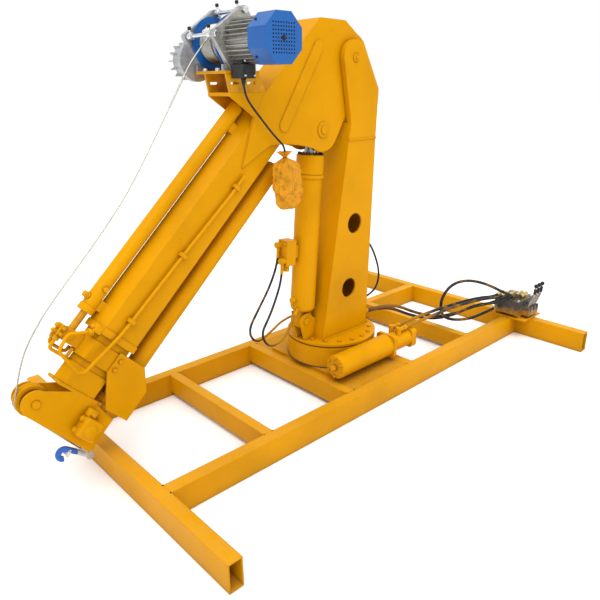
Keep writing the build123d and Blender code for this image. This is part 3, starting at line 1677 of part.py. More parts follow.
# Hoses from the rear of the column to the valve bank; they swing with the column at one end
lift_routes = []
for (port_y, port_rise), inlet in zip(column_ports, reversed(bank_inlets[2:4])):
    port_z = flange_top + port_rise
    lift_routes.append(
        [
            (post_rear(port_z) + column_union, port_y, port_z),
            (310, port_y, port_z),
            (440, port_y - 46, port_z - 8),
            (580, port_y - 96, port_z - 84),
            (720, port_y - 152, port_z - 132),
            (850, port_y - 214, port_z - 128),
            (970, port_y - 280, port_z - 80),
            (inlet.X - 215, inlet.Y + 30, inlet.Z - 18),
            (inlet.X - 95, inlet.Y, inlet.Z),
            (inlet.X, inlet.Y, inlet.Z),
        ]
    )
hose("lift_hoses", lift_routes, hose_diameter)

# Thin hoses of the column: two from the lift cylinder's valve, and a loop behind the post
valve_exits = [
    lift_axis.from_local_coords(
        (port_side, valve_front + elbow_reach, valve_start + port_station - elbow_drop - running)
    )
    for port_station, port_side in valve_ports
]
front_port_z = flange_top + front_port_rise
loop_high = flange_top + loop_ports[0][1]
loop_low = flange_top + loop_ports[1][1]
exit_drop = lift_axis.z_dir * -64
column_routes = [
    [
        tuple(valve_exits[0]),
        tuple(valve_exits[0] + exit_drop),
        (-422, 24, 610),
        (-492, 32, 506),
        (-560, 40, 400),
        (-500, 50, 312),
        (-400, 60, 340),
        (-294, front_port_y, front_port_z),
        (post_front(front_port_z) - column_union, front_port_y, front_port_z),
    ],
    [
        tuple(valve_exits[1]),
        tuple(valve_exits[1] + exit_drop),
        (-418, -22, 566),
        (-470, -28, 480),
        (-535, -30, 395),
        (-478, -32, 305),
        (-375, -32, 330),
        (-322, -32, 415),
        (-283, -32, 472),
    ],
    [
        (post_rear(loop_high) + column_union, loop_ports[0][0], loop_high),
        (280, 30, loop_high),
        (352, 32, 690),
        (414, 34, 590),
        (454, 36, 480),
        (424, 38, 388),
        (300, loop_ports[1][0], loop_low),
        (post_rear(loop_low) + column_union, loop_ports[1][0], loop_low),
    ],
]
hose("column_hoses", column_routes, thin_hose_diameter)

# Cable from the winch's terminal box to the bagged hand control that hangs beside the boom
cable_points = [
    (terminal_x, terminal_y, terminal_face - terminal_height),
    (terminal_x, terminal_y, 1549),
    (-640, -126, 1508),
    (-603, -124, 1466),
    (-563, -122, 1426),
    (-518, -121, 1379),
    (-472, bag_y, 1336),
    (bag_top_x, bag_y, 1304),
    (bag_top_x, bag_y, bag_top_z + bag_knot_radius + running),
]
hose("pendant_cable", [cable_points], cable_diameter)

with BuildPart() as pendant_bag:
    bag_levels = (
        (0, bag_neck_radius / bag_width * 2, 0.46),
        (0.14, 0.42, 0.7),
        (0.4, 0.84, 1.0),
        (0.72, 1.0, 0.94),
        (1.0, 0.72, 0.5),
    )
    for drop, width_share, depth_share in bag_levels:
        ring_centre = (bag_top_x + bag_lean * drop, bag_y, bag_top_z - bag_drop * drop)
        level = Plane(origin=ring_centre, z_dir=(0, 0, -1))
        with BuildSketch(level):
            Ellipse(bag_width * width_share / 2, bag_thickness * depth_share / 2)
    loft()
    with BuildSketch(near_side.offset(-bag_y)):
        with Locations((bag_top_x, bag_top_z)):
            Circle(bag_knot_radius)
    extrude(amount=bag_knot_width / 2, both=True)
finish(pendant_bag, "pendant_bag")

# Hard pipe clipped along the outer section's near side
pipe_offset = root_outer + pipe_diameter / 2
with BuildPart() as boom_pipe:
    with BuildLine() as pipe_line:
        FilletPolyline(
            on_boom(pipe_start, -20, -pipe_offset),
            on_boom(pipe_start + 120, -20, -pipe_offset),
            on_boom(pipe_start + 400, -4, -pipe_offset),
            on_boom(outer_reach - collar_length - 8, 18, -pipe_offset),
            on_boom(outer_reach + pipe_overhang, 60, -pipe_offset - pipe_stand_off),
            *[on_boom(outer_reach + ahead, rise, y) for ahead, rise, y in pipe_return],
            radius=pipe_rounds,
        )
    with BuildSketch(Plane(origin=pipe_line.line @ 0, z_dir=pipe_line.line % 0)):
        Circle(pipe_diameter / 2)
    sweep()
    for share in (0.05, 0.33, 0.58):
        clip = pipe_line.line @ share
        with BuildSketch(Plane(origin=(clip.X, -root_inner, clip.Z), x_dir=along, z_dir=(0, -1, 0))):
            Rectangle(clip_length, 2.2 * pipe_diameter)
        extrude(amount=pipe_offset - root_inner + pipe_diameter / 2 + 2)
finish(boom_pipe, "boom_pipe")

with BuildPart() as tip_pipes:
    with BuildSketch(boom_side):
        with Locations((upper_pin_station, upper_axis_rise + upper_lug_radius + tip_block_height / 2)):
            Rectangle(tip_block_length, tip_block_height)
    extrude(amount=upper_rod_radius + bracket_plate, both=True)
    collar_rise = ridge_at(middle_inset - collar_thickness)
    for pipe_reach, pipe_y in tip_pipe_bends:
        slope = ridge_rise / (boom_width / 2)
        foot_rise = collar_rise - slope * abs(pipe_y) + math.hypot(1, slope) * pipe_diameter / 2 + running
        head_rise = upper_axis_rise + upper_lug_radius + tip_block_height / 2
        with BuildLine() as bend:
            FilletPolyline(
                on_boom(upper_pin_station, head_rise, pipe_y),
                on_boom(middle_reach + pipe_reach, head_rise, pipe_y),
                on_boom(middle_reach + pipe_reach, foot_rise, pipe_y),
                on_boom(middle_reach - tip_pipe_setback, foot_rise, pipe_y),
                radius=tip_pipe_round,
            )
        with BuildSketch(Plane(origin=bend.line @ 0, z_dir=bend.line % 0)):
            Circle(pipe_diameter / 2)
        sweep()
finish(tip_pipes, "tip_pipes")
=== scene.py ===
import math

import bmesh
import bpy
from mathutils import Matrix, Vector, noise


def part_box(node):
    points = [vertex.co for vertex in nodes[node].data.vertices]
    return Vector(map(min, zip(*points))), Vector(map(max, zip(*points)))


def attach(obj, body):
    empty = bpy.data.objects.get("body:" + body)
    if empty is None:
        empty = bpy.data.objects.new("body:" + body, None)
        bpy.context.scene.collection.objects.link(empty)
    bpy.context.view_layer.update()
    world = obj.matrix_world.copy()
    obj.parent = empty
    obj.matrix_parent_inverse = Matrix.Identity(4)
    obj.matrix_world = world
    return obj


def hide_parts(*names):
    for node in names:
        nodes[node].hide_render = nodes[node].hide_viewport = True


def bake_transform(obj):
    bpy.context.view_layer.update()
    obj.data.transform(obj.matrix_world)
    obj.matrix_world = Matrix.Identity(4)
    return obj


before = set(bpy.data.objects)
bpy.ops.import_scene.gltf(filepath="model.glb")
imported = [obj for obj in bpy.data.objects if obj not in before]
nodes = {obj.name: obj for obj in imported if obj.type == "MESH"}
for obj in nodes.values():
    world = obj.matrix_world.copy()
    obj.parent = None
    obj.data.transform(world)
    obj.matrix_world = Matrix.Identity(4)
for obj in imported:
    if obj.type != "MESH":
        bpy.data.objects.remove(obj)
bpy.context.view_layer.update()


# Base frame: two cross beams, two rails and four lower members, all square-cut steel tube.
# It is welded up flat on the ground and sprayed in warm yellow enamel, with scuffs and dust low down.
def feed(tree, node, inputs):
    for key, value in inputs.items():
        socket = node.inputs[key]
        if isinstance(value, bpy.types.NodeSocket):
            tree.links.new(value, socket)
        else:
            socket.default_value = value


def grow(tree, kind, inputs=None, **settings):
    node = tree.nodes.new(kind)
    for key, value in settings.items():
        setattr(node, key, value)
    feed(tree, node, inputs or {})
    return node


def blank(name):
    material = bpy.data.materials.new(name)
    material.use_nodes = True
    tree = material.node_tree
    place = grow(tree, "ShaderNodeTexCoord").outputs["Object"]
    return material, tree, tree.nodes["Principled BSDF"], place


def grey(value):
    return (value, value, value)


def tinted(colour, share):
    return tuple(min(1.0, channel * share) for channel in colour)


def ramp(tree, value, *stops):
    made = grow(tree, "ShaderNodeValToRGB", {"Fac": value})
    elements = made.color_ramp.elements
    while len(elements) < len(stops):
        elements.new(1.0)
    for element, (spot, colour) in zip(elements, stops):
        element.position = spot
        element.color = (*colour, 1)
    return made.outputs["Color"]


def mixed(tree, share, first, second):
    factor, colour_a, colour_b, colour_out = 0, 6, 7, 2
    inputs = {factor: share}
    for key, value in ((colour_a, first), (colour_b, second)):
        inputs[key] = (*value, 1) if isinstance(value, tuple) else value
    return grow(tree, "ShaderNodeMix", inputs, data_type="RGBA").outputs[colour_out]


def cloud(tree, place, scale, detail, rough=0.55):
    inputs = {"Vector": place, "Scale": scale, "Detail": detail, "Roughness": rough}
    return grow(tree, "ShaderNodeTexNoise", inputs).outputs["Fac"]


def combined(tree, operation, first, second, **settings):
    inputs = {0: first, 1: second}
    return grow(tree, "ShaderNodeMath", inputs, operation=operation, **settings).outputs["Value"]


def vectors(tree, operation, first, second, output="Vector"):
    inputs = {0: first, 1: second}
    return grow(tree, "ShaderNodeVectorMath", inputs, operation=operation).outputs[output]


def ranged(tree, value, low, high, start=0.0, stop=1.0):
    inputs = {"Value": value, "From Min": low, "From Max": high, "To Min": start, "To Max": stop}
    return grow(tree, "ShaderNodeMapRange", inputs).outputs["Result"]


def height_of(tree, vector):
    return grow(tree, "ShaderNodeSeparateXYZ", {"Vector": vector}).outputs["Z"]


def rounded_edges(tree, radius):
    return grow(tree, "ShaderNodeBevel", {"Radius": radius}, samples=4).outputs["Normal"]


def edge_share(tree, rounded):
    flat = grow(tree, "ShaderNodeNewGeometry").outputs["Normal"]
    turn = vectors(tree, "DOT_PRODUCT", rounded, flat, "Value")
    return ramp(tree, turn, (0.72, grey(1.0)), (0.97, grey(0.0)))


def relief(tree, shader, height, depth, normal=None, strength=0.5):
    inputs = {"Height": height, "Distance": depth, "Strength": strength}
    if normal is not None:
        inputs["Normal"] = normal
    bump = grow(tree, "ShaderNodeBump", inputs)
    tree.links.new(bump.outputs["Normal"], shader.inputs["Normal"])


def enamel(name, colour, rough, edge, dust_top=0.0, shine=0.05):
    material, tree, shader, place = blank(name)
    tone = ramp(
        tree,
        cloud(tree, place, 2.6, 4),
        (0.28, tinted(colour, 0.84)),
        (0.5, colour),
        (0.72, tinted(colour, 1.1)),
    )
    rounded = rounded_edges(tree, edge)
    # Edges are lightened toward a paler yellow: partly rubbed wear, partly a painted highlight where
    # rounded edges catch the light.
    worn_and_lit_edge = combined(tree, "MULTIPLY", edge_share(tree, rounded), cloud(tree, place, 38, 5))
    pale = tuple(min(1.0, channel * 1.3 + 0.03) for channel in colour)
    tone = mixed(tree, worn_and_lit_edge, tone, pale)
    scuff = ramp(tree, cloud(tree, place, 23, 8, 0.7), (0.62, grey(0.0)), (0.74, grey(0.42)))
    tone = mixed(tree, scuff, tone, tinted(colour, 0.66))
    # Crevices and corners are darkened by ambient occlusion: this is painted shade.
    shade_openness = grow(tree, "ShaderNodeAmbientOcclusion", {"Distance": 0.045}, samples=6).outputs["AO"]
    corner = ramp(tree, shade_openness, (0.3, grey(0.6)), (0.8, grey(0.0)))
    tone = mixed(tree, corner, tone, tinted(colour, 0.42))
    if dust_top:
        splash_brown = (0.26, 0.14, 0.02)
        dust_tan = (0.52, 0.29, 0.06)
        low = ranged(tree, height_of(tree, place), 0.0, dust_top, 0.5, 0.0)
        splash = combined(tree, "MULTIPLY", low, cloud(tree, place, 9, 5))
        tone = mixed(tree, splash, tone, splash_brown)
        level = height_of(tree, grow(tree, "ShaderNodeNewGeometry").outputs["Normal"])
        lying = ramp(tree, level, (0.6, grey(0.0)), (0.9, grey(0.5)))
        grit = ramp(tree, cloud(tree, place, 55, 8, 0.75), (0.42, grey(0.0)), (0.62, grey(1.0)))
        tone = mixed(tree, combined(tree, "MULTIPLY", lying, grit), tone, dust_tan)
    polish = ramp(tree, cloud(tree, place, 7, 5), (0.3, grey(rough * 0.8)), (0.7, grey(rough * 1.35)))
    feed(tree, shader, {"Base Color": tone, "Roughness": polish, "Specular IOR Level": shine})
    relief(tree, shader, cloud(tree, place, 210, 2), depth=0.0006, normal=rounded, strength=0.25)
    return material


def finished(material, *names):
    for name in names:
        slots = nodes[name].material_slots
        if slots:
            slots[0].material = material
        else:
            nodes[name].data.materials.append(material)


same_spot = 1e-6


def placed(name, bm, body, material, smooth_angle=35, merge=False):
    if merge:
        bmesh.ops.remove_doubles(bm, verts=bm.verts, dist=same_spot)
    bmesh.ops.recalc_face_normals(bm, faces=bm.faces)
    mesh = bpy.data.meshes.new(name)
    bm.to_mesh(mesh)
    bm.free()
    mesh.materials.append(material)
    mesh.shade_smooth()
    mesh.set_sharp_from_angle(angle=math.radians(smooth_angle))
    made = bpy.data.objects.new(name, mesh)
    bpy.context.scene.collection.objects.link(made)
    if body:
        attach(made, body)
    return made


def curve(name, routes, kind, radius=0.0, sides=0, steps=12):
    line = bpy.data.curves.new(name, "CURVE")
    line.dimensions = "3D"
    line.bevel_depth = radius
    line.bevel_resolution = sides
    line.resolution_u = steps
    line.use_fill_caps = True
    for route in routes:
        run = line.splines.new(kind)
        run.points.add(len(route) - 1)
        for mark, spot in zip(run.points, route):
            mark.co = (*spot, 1)
        if kind == "NURBS":
            run.order_u = 3
            run.use_endpoint_u = True
    return line


def meshed(name, line):
    draft = bpy.data.objects.new(name, line)
    mesh = bpy.data.meshes.new_from_object(draft)
    bpy.data.objects.remove(draft)
    bpy.data.curves.remove(line)
    return mesh


def tubes(name, routes, radius, sides=2):
    mesh = meshed(name, curve(name, routes, "POLY", radius, sides))
    bm = bmesh.new()
    bm.from_mesh(mesh)
    bpy.data.meshes.remove(mesh)
    return bm


yellow = (0.63, 0.277, 0.0003)
frame_yellow = enamel("frame_yellow", yellow, rough=0.34, edge=0.008, dust_top=0.1)
finished(frame_yellow, "cross_beams", "side_rails", "cross_members")
weld_yellow = enamel("weld_yellow", tinted(yellow, 0.92), rough=0.42, edge=0.001)


def welded(name, body, routes, radius):
    placed(name, tubes(name, routes, radius), body, weld_yellow)


beam_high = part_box("cross_beams")[1]
rail_low, rail_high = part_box("side_rails")
member_low, member_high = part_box("cross_members")
weld_radius = 0.005
rail_width = 0.06
rail_heights = (0.006, 0.06, beam_high.z)
member_half = 0.025
member_heights = (0.024, 0.07, member_high.z)
joint_welds = []
for face_y in (rail_low.y, rail_low.y + rail_width, rail_high.y - rail_width, rail_high.y):
    for end_x in (rail_low.x, rail_high.x):
        joint_welds.append([(end_x, face_y, height) for height in rail_heights])
for member_x in (-0.796, -0.259, 0.219, 0.771):
    for face_x in (member_x - member_half, member_x + member_half):
        for end_y in (member_low.y, member_high.y):
            joint_welds.append([(face_x, end_y, height) for height in member_heights])
welded("frame_welds", "base", joint_welds, weld_radius)

# Deck plate and slew pad: thick plate let in between the middle members and welded all round.
# Both are flame cut and sprayed with the frame.
deck_yellow = enamel("deck_yellow", tinted(yellow, 0.82), rough=0.45, edge=0.005, dust_top=0.1)
finished(deck_yellow, "deck_plate", "slew_pad")
pad_low, pad_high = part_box("slew_pad")
pad_corners = [
    (pad_low.x, pad_low.y, pad_low.z),
    (pad_high.x, pad_low.y, pad_low.z),
    (pad_high.x, pad_high.y, pad_low.z),
    (pad_low.x, pad_high.y, pad_low.z),
]


def sides_of(corners):
    return list(zip(corners, corners[1:] + corners[:1]))


welded("pad_welds", "base", sides_of(pad_corners), weld_radius)


# Slew drive: a cast ring housing with its worm tube, end cap and flanged hydraulic motor.
# The castings are sprayed yellow; hex bolts hold the flanges and the ring inside is bare machined steel.
def facing(spot, way):
    turn = Vector((0, 0, 1)).rotation_difference(Vector(way)).to_matrix().to_4x4()
    return Matrix.Translation(Vector(spot)) @ turn


def cone(bm, stand, sides, foot, top, start, depth):
    return bmesh.ops.create_cone(
        bm,
        cap_ends=True,
        segments=sides,
        radius1=foot,
        radius2=top,
        depth=depth,
        matrix=stand @ Matrix.Translation((0, 0, start + depth / 2)),
    )


def edges_of(made):
    return list(dict.fromkeys(edge for vert in made["verts"] for edge in vert.link_edges))


def eased(bm, edges, offset, segments):
    bmesh.ops.bevel(
        bm,
        geom=edges,
        offset=offset,
        affect="EDGES",
        segments=segments,
        profile=0.5,
        material=-1,
    )


def add_bolt(bm, spot, way, across, height):
    stand = facing(spot, way)
    washer = height * 0.25
    corner = across / math.sqrt(3)
    cone(bm, stand, sides=18, foot=across * 0.72, top=across * 0.68, start=0.0, depth=washer)
    head = cone(bm, stand, sides=6, foot=corner, top=corner, start=washer, depth=height)
    top = stand @ Vector((0, 0, washer + height))
    rim = [
        edge
        for edge in edges_of(head)
        if all((vert.co - top).length < across * 0.6 for vert in edge.verts)
    ]
    eased(bm, rim, height * 0.16, segments=2)


def on_ring(centre, first, second, radius, degrees):
    angle = math.radians(degrees)
    return centre + first * (radius * math.cos(angle)) + second * (radius * math.sin(angle))


def metal(name, colour, rough, grain=60.0, metallic=1.0):
    material, tree, shader, place = blank(name)
    streak = cloud(tree, place, grain, 5, 0.65)
    tone = ramp(tree, streak, (0.3, tinted(colour, 0.72)), (0.52, colour), (0.75, tinted(colour, 1.15)))
    stain = ramp(tree, cloud(tree, place, 11, 6), (0.5, grey(0.0)), (0.8, grey(0.4)))
    tone = mixed(tree, stain, tone, tinted(colour, 0.5))
    polish = ramp(tree, streak, (0.3, grey(rough * 0.75)), (0.75, grey(rough * 1.4)))
    feed(tree, shader, {"Base Color": tone, "Roughness": polish, "Metallic": metallic})
    relief(tree, shader, streak, depth=0.0004, normal=rounded_edges(tree, 0.002), strength=0.25)
    return material


def moulded(name, tones, patches, grain, depth, rough, shine=0.5, edge=0.0):
    material, tree, shader, place = blank(name)
    low, high = tones
    tone = ramp(tree, cloud(tree, place, *patches), (0.3, grey(low)), (0.8, grey(high)))
    feed(tree, shader, {"Base Color": tone, "Roughness": rough, "Specular IOR Level": shine})
    rounded = rounded_edges(tree, edge) if edge else None
    relief(tree, shader, cloud(tree, place, *grain), depth, rounded)
    return material


body_yellow = enamel("body_yellow", yellow, rough=0.3, edge=0.006)
finished(body_yellow, "slew_housing", "worm_cap", "slew_motor")
machined_steel = metal("machined_steel", (0.52, 0.52, 0.53), rough=0.32)
finished(machined_steel, "worm", "slew_ring")
housing_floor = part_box("slew_housing")[0].z
motor_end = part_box("slew_motor")[1].x
x_way = Vector((1, 0, 0))
y_way = Vector((0, 1, 0))
z_way = Vector((0, 0, 1))
worm_axis = Vector((0, -0.272, 0.207))
motor_flange = 0.17
cap_face = -0.249
worm_end = -0.259
flange_corner = 0.048
drive_bolts = bmesh.new()
for corner_y in (-flange_corner, flange_corner):
    for corner_z in (-flange_corner, flange_corner):
        corner = y_way * corner_y + z_way * corner_z
        flange_spot = worm_axis + x_way * motor_flange + corner
        add_bolt(drive_bolts, flange_spot, x_way, across=0.017, height=0.009)
        cover_spot = worm_axis + x_way * motor_end + corner * 0.78
        add_bolt(drive_bolts, cover_spot, x_way, across=0.015, height=0.008)
for turn in range(6):
    spot = on_ring(worm_axis + x_way * cap_face, y_way, z_way, radius=0.05, degrees=30 + 60 * turn)
    add_bolt(drive_bolts, spot, -x_way, across=0.013, height=0.007)
placed("drive_bolts", drive_bolts, "base", body_yellow)
worm_bolt = bmesh.new()
add_bolt(worm_bolt, worm_axis + x_way * worm_end, -x_way, across=0.026, height=0.012)
placed("worm_bolt", worm_bolt, "worm", body_yellow)
# A thin dark ring round the housing's foot is painted shadow in the narrow gap below the housing.
seam_radius = 0.2455
seam_middle = z_way * (housing_floor + 0.002)
drive_seam = [on_ring(seam_middle, x_way, y_way, seam_radius, 6 * turn) for turn in range(61)]
painted_shadow_gap = moulded("painted_shadow_gap", tones=(0.012, 0.05), patches=(40, 4), grain=(300, 3), depth=0.0005, rough=0.7)
shadow_gap_ring = tubes("housing_shadow_gap", [drive_seam], radius=0.003)
placed("housing_shadow_gap", shadow_gap_ring, "base", painted_shadow_gap)

# Column: a round bolted flange, a tapered box post and two thick ears for the boom's pivot.
# It is one yellow weldment; the flange bolts are sprayed over, and a keeper plate locks each pin.
finished(body_yellow, "column_flange", "flange_bolts", "column_post", "column_ears")
finished(body_yellow, "lift_clevis", "column_pins")
flange_top = 0.28
ear_foot = 1.305
post_corners = ((-0.175, -0.11), (0.166, -0.11), (0.166, 0.11), (-0.175, 0.11))
foot_welds = sides_of([(x, y, flange_top) for x, y in post_corners])
for side in (-0.11, 0.11):
    foot_welds.append([(x, side, ear_foot) for x in (-0.002, 0.1, 0.198)])
welded("column_welds", "column", foot_welds, radius=0.006)


def eased_box(bm, stand, size, bevel, segments=3):
    made = bmesh.ops.create_cube(bm, size=1.0, matrix=stand @ Matrix.Diagonal((*size, 1)))
    eased(bm, edges_of(made), bevel, segments)


def keeper(bm, spot, way, run, length, width, thick):
    stand = facing(spot, way)
    heading = stand.to_3x3().inverted() @ Vector(run)
    stand = stand @ Matrix.Rotation(math.atan2(heading.y, heading.x), 4, "Z")
    middle = stand @ Matrix.Translation((0, 0, thick / 2))
    eased_box(bm, middle, (length, width, thick), thick * 0.3, segments=2)
    for share in (-0.36, 0.36):
        add_bolt(bm, stand @ Vector((length * share, 0, thick)), way, width * 0.55, thick)


def turned(bm, profile, spot, way, steps=28):
    profile = list(profile)
    if profile[0][0] and profile[-1][0]:
        profile.append(profile[0])
    elif profile[-1][0]:
        profile.append((0.0, profile[-1][1]))
    part = bmesh.new()
    marks = [part.verts.new((radius, 0, reach)) for radius, reach in profile]
    edges = [part.edges.new(pair) for pair in zip(marks, marks[1:])]
    bmesh.ops.spin(
        part,
        geom=marks + edges,
        cent=(0, 0, 0),
        axis=(0, 0, 1),
        dvec=(0, 0, 0),
        angle=math.tau,
        steps=steps,
        use_merge=True,
        use_duplicate=False,
    )
    bmesh.ops.remove_doubles(part, verts=part.verts, dist=same_spot)
    bmesh.ops.recalc_face_normals(part, faces=part.faces)
    bmesh.ops.transform(part, matrix=facing(spot, way), verts=part.verts)
    shell = bpy.data.meshes.new("turned")
    part.to_mesh(shell)
    part.free()
    bm.from_mesh(shell)
    bpy.data.meshes.remove(shell)


near = -y_way
ear_pin = Vector((0.035, -0.11, 1.681))
cap_height = 0.005
pin_cap = [(0.0, cap_height), (0.0165, cap_height), (0.019, 0.003), (0.02, 0.0)]
pin_keepers = bmesh.new()
keeper(pin_keepers, (0.035, 0.11, 1.648), y_way, (1, 0, 0.2), length=0.085, width=0.024, thick=0.008)
keeper(pin_keepers, (-0.226, 0.038, 0.422), y_way, x_way, length=0.07, width=0.018, thick=0.006)
turned(pin_keepers, pin_cap, ear_pin, near, steps=36)
add_bolt(pin_keepers, ear_pin + near * cap_height, near, across=0.015, height=0.007)
placed("pin_keepers", pin_keepers, "column", body_yellow)

# Lift cylinder: a honed barrel with a screwed gland, a chromed rod and a holding valve on its front.
# Barrel, gland and valve are sprayed yellow after assembly; the rod and the black gland screws are bare.
finished(body_yellow, "lift_barrel", "lift_gland", "lift_valve")
chrome, tree, shader, place = blank("chrome_rod")
# The rod's chrome is given a dark base colour: painted shade for the deep shadow under the root plates.
chrome_tone_with_painted_shade = ramp(tree, cloud(tree, place, 14, 6), (0.3, grey(0.16)), (0.7, grey(0.28)))
chrome_polish = ramp(tree, cloud(tree, place, 90, 4), (0.3, grey(0.07)), (0.8, grey(0.2)))
feed(tree, shader, {"Base Color": chrome_tone_with_painted_shade, "Roughness": chrome_polish, "Metallic": 1.0})
relief(tree, shader, cloud(tree, place, 400, 2), depth=0.0002)
finished(chrome, "lift_rod")
lift_foot = Vector((-0.226, 0, 0.385))
lift_way = Vector((0.07632262, 0, 0.997083175))
lift_front = Vector((-0.997083175, 0, 0.07632262))
gland_reach = 0.857


def on_lift(reach, front=0.0, y=0.0):
    return lift_foot + lift_way * reach + lift_front * front + y_way * y


lift_fittings = bmesh.new()
turned(
    lift_fittings,
    [(0.0, 0.0), (0.045, 0.0), (0.0715, 0.004), (0.0715, 0.018), (0.069, 0.021), (0.0, 0.021)],
    on_lift(0.742),
    lift_way,
    steps=40,
)
for reach, ring in ((gland_reach, 0.0445), (gland_reach + 0.005, 0.04)):
    wiper = [(ring, 0.0), (ring, 0.003), (ring - 0.003, 0.005), (0.0335, 0.005)]
    turned(lift_fittings, wiper, on_lift(reach), lift_way, steps=36)
add_bolt(lift_fittings, on_lift(0.66, 0.064), lift_front, across=0.026, height=0.014)
add_bolt(lift_fittings, on_lift(0.12, 0.064), lift_front, across=0.03, height=0.016)
for reach in (0.335, 0.43):
    for side in (-0.022, 0.022):
        add_bolt(lift_fittings, on_lift(reach, 0.158, side), lift_front, across=0.012, height=0.006)
placed("lift_fittings", lift_fittings, "lift_barrel", body_yellow)
socket_screw = [(0.0, 0.006), (0.0042, 0.006), (0.0046, 0.012)]
socket_screw += [(0.0078, 0.012), (0.0085, 0.011), (0.0085, 0.0)]
gland_screws = bmesh.new()
for turn in range(8):
    spot = on_ring(on_lift(gland_reach), lift_front, y_way, radius=0.056, degrees=45 * turn + 10)
    turned(gland_screws, socket_screw, spot, lift_way, steps=16)
black_oxide = metal("black_oxide", (0.03, 0.03, 0.032), rough=0.4, grain=90, metallic=0.6)
placed("gland_screws", gland_screws, "lift_barrel", black_oxide)

# Boom: an outer section folded from plate, with root plates, lift lug, pivot and a winch shelf.
# All of it is yellow; a hard pipe and the upper cylinder run along it, clipped and sprayed over.
finished(body_yellow, "outer_section", "root_plates", "winch_shelf", "upper_barrel", "boom_pipe")
pad_plastic = moulded(
    "pad_plastic",
    tones=(0.03, 0.08),
    patches=(60, 4),
    grain=(500, 2),
    depth=0.0003,
    rough=0.55,
)
finished(pad_plastic, "outer_wear_pad")
along = Vector((-0.727773, 0, -0.685818))
above = Vector((-0.685818, 0, 0.727773))
boom_origin = Vector((-0.531057, 0, 1.319331))


def on_boom(station, rise, y=0.0):
    return boom_origin + along * station + above * rise + y_way * y


def split_finish(name, share_of, low, high):
    material, tree, shader, place = blank(name)
    share = share_of(tree, place)
    tones = []
    for side, scale, dim in ((low, 30, 0.75), (high, 24, 0.78)):
        patches = cloud(tree, place, scale, 5)
        colour = side["colour"]
        tones.append(ramp(tree, patches, (0.3, tinted(colour, dim)), (0.7, tinted(colour, 1.12))))
    inputs = {"Base Color": mixed(tree, share, *tones), "Specular IOR Level": 0.2}
    for socket, key in (("Roughness", "rough"), ("Metallic", "metallic")):
        inputs[socket] = mixed(tree, share, grey(low[key]), grey(high[key]))
    feed(tree, shader, inputs)
    rounded = rounded_edges(tree, 0.003)
    relief(tree, shader, cloud(tree, place, 260, 3), depth=0.0006, normal=rounded, strength=0.4)
    return material


sharp_change = 0.001


def past_station(level):
    def share(tree, place):
        offset = vectors(tree, "SUBTRACT", place, boom_origin)
        reach = vectors(tree, "DOT_PRODUCT", offset, along, "Value")
        return ranged(tree, reach, level - sharp_change, level + sharp_change)

    return share


rod_chrome = {"colour": (0.7, 0.7, 0.71), "rough": 0.12, "metallic": 1.0}
spray_coat = {"colour": yellow, "rough": 0.32, "metallic": 0.0}
upper_gland = 1.009
upper_rise = 0.161
finished(split_finish("upper_rod_coat", past_station(upper_gland), rod_chrome, spray_coat), "upper_rod")
pipe_fittings = bmesh.new()
turned(
    pipe_fittings,
    [(0.0152, 0.0), (0.0335, 0.0), (0.0345, 0.002), (0.0345, 0.026), (0.031, 0.03)],
    on_boom(upper_gland + 0.004, upper_rise),
    -along,
    steps=32,
)
add_bolt(pipe_fittings, on_boom(0.955, upper_rise + 0.029), above, across=0.024, height=0.016)
add_bolt(pipe_fittings, on_boom(0.9, upper_rise, -0.029), near, across=0.02, height=0.012)


def blocked(bm, spot, size, bevel):
    boom_turn = Matrix((along, y_way, above)).transposed().to_4x4()
    eased_box(bm, Matrix.Translation(spot) @ boom_turn, size, bevel)


pipe_y = -0.062
elbow_station = 1.041
blocked(pipe_fittings, on_boom(elbow_station, 0.106, pipe_y), (0.034, 0.03, 0.036), bevel=0.004)
pipe_way = on_boom(1.116, 0.192, pipe_y) - on_boom(1.056, 0.112, pipe_y)
add_bolt(pipe_fittings, on_boom(1.06, 0.117, pipe_y), pipe_way, across=0.024, height=0.014)
add_bolt(pipe_fittings, on_boom(elbow_station, 0.122, pipe_y), above, across=0.018, height=0.01)
placed("pipe_fittings", pipe_fittings, "boom", body_yellow, merge=True)
lift_keeper = bmesh.new()
keeper(lift_keeper, on_boom(-0.304, -0.29, 0.078), y_way, along, length=0.07, width=0.018, thick=0.006)
placed("lift_keeper", lift_keeper, "boom", body_yellow)
plate_edges = (
    ((0.143, 0.007), (0.04, 0.06), (-0.051, 0.108)),
    ((0.141, 0.002), (0.05, -0.02), (-0.025, -0.04)),
)
section_welds = []
for weld_y in (-0.0705, 0.0705):
    for plate_edge in plate_edges:
        section_welds.append([on_boom(station, rise, weld_y) for station, rise in plate_edge])
welded("root_welds", "boom", section_welds, radius=0.004)

# Middle and inner sections: folded six-sided tubes that slide in the outer one on plastic pads.
# The lower cylinder hangs under them in a bolted stirrup, and all of it is sprayed the same yellow.
finished(body_yellow, "middle_section", "middle_brackets", "lower_barrel", "tip_pipes")
finished(body_yellow, "inner_section", "boom_head", "head_pins", "sheave")
finished(pad_plastic, "middle_wear_pads", "inner_wear_pad")
stirrup_bolts = bmesh.new()
for station in (1.1, 1.14):
    for side in (-1, 1):
        spot = on_boom(station, -0.06, side * 0.071)
        add_bolt(stirrup_bolts, spot, y_way * side, across=0.016, height=0.009)
placed("stirrup_bolts", stirrup_bolts, "middle", body_yellow)
lower_gland = 1.275
lower_rise = -0.177
finished(split_finish("lower_rod_coat", past_station(lower_gland), rod_chrome, spray_coat), "lower_rod")
manifold_rise = 0.199
tip_fittings = bmesh.new()
for nut_y in (-0.015, 0.015):
    add_bolt(tip_fittings, on_boom(1.145, manifold_rise, nut_y), along, across=0.022, height=0.012)
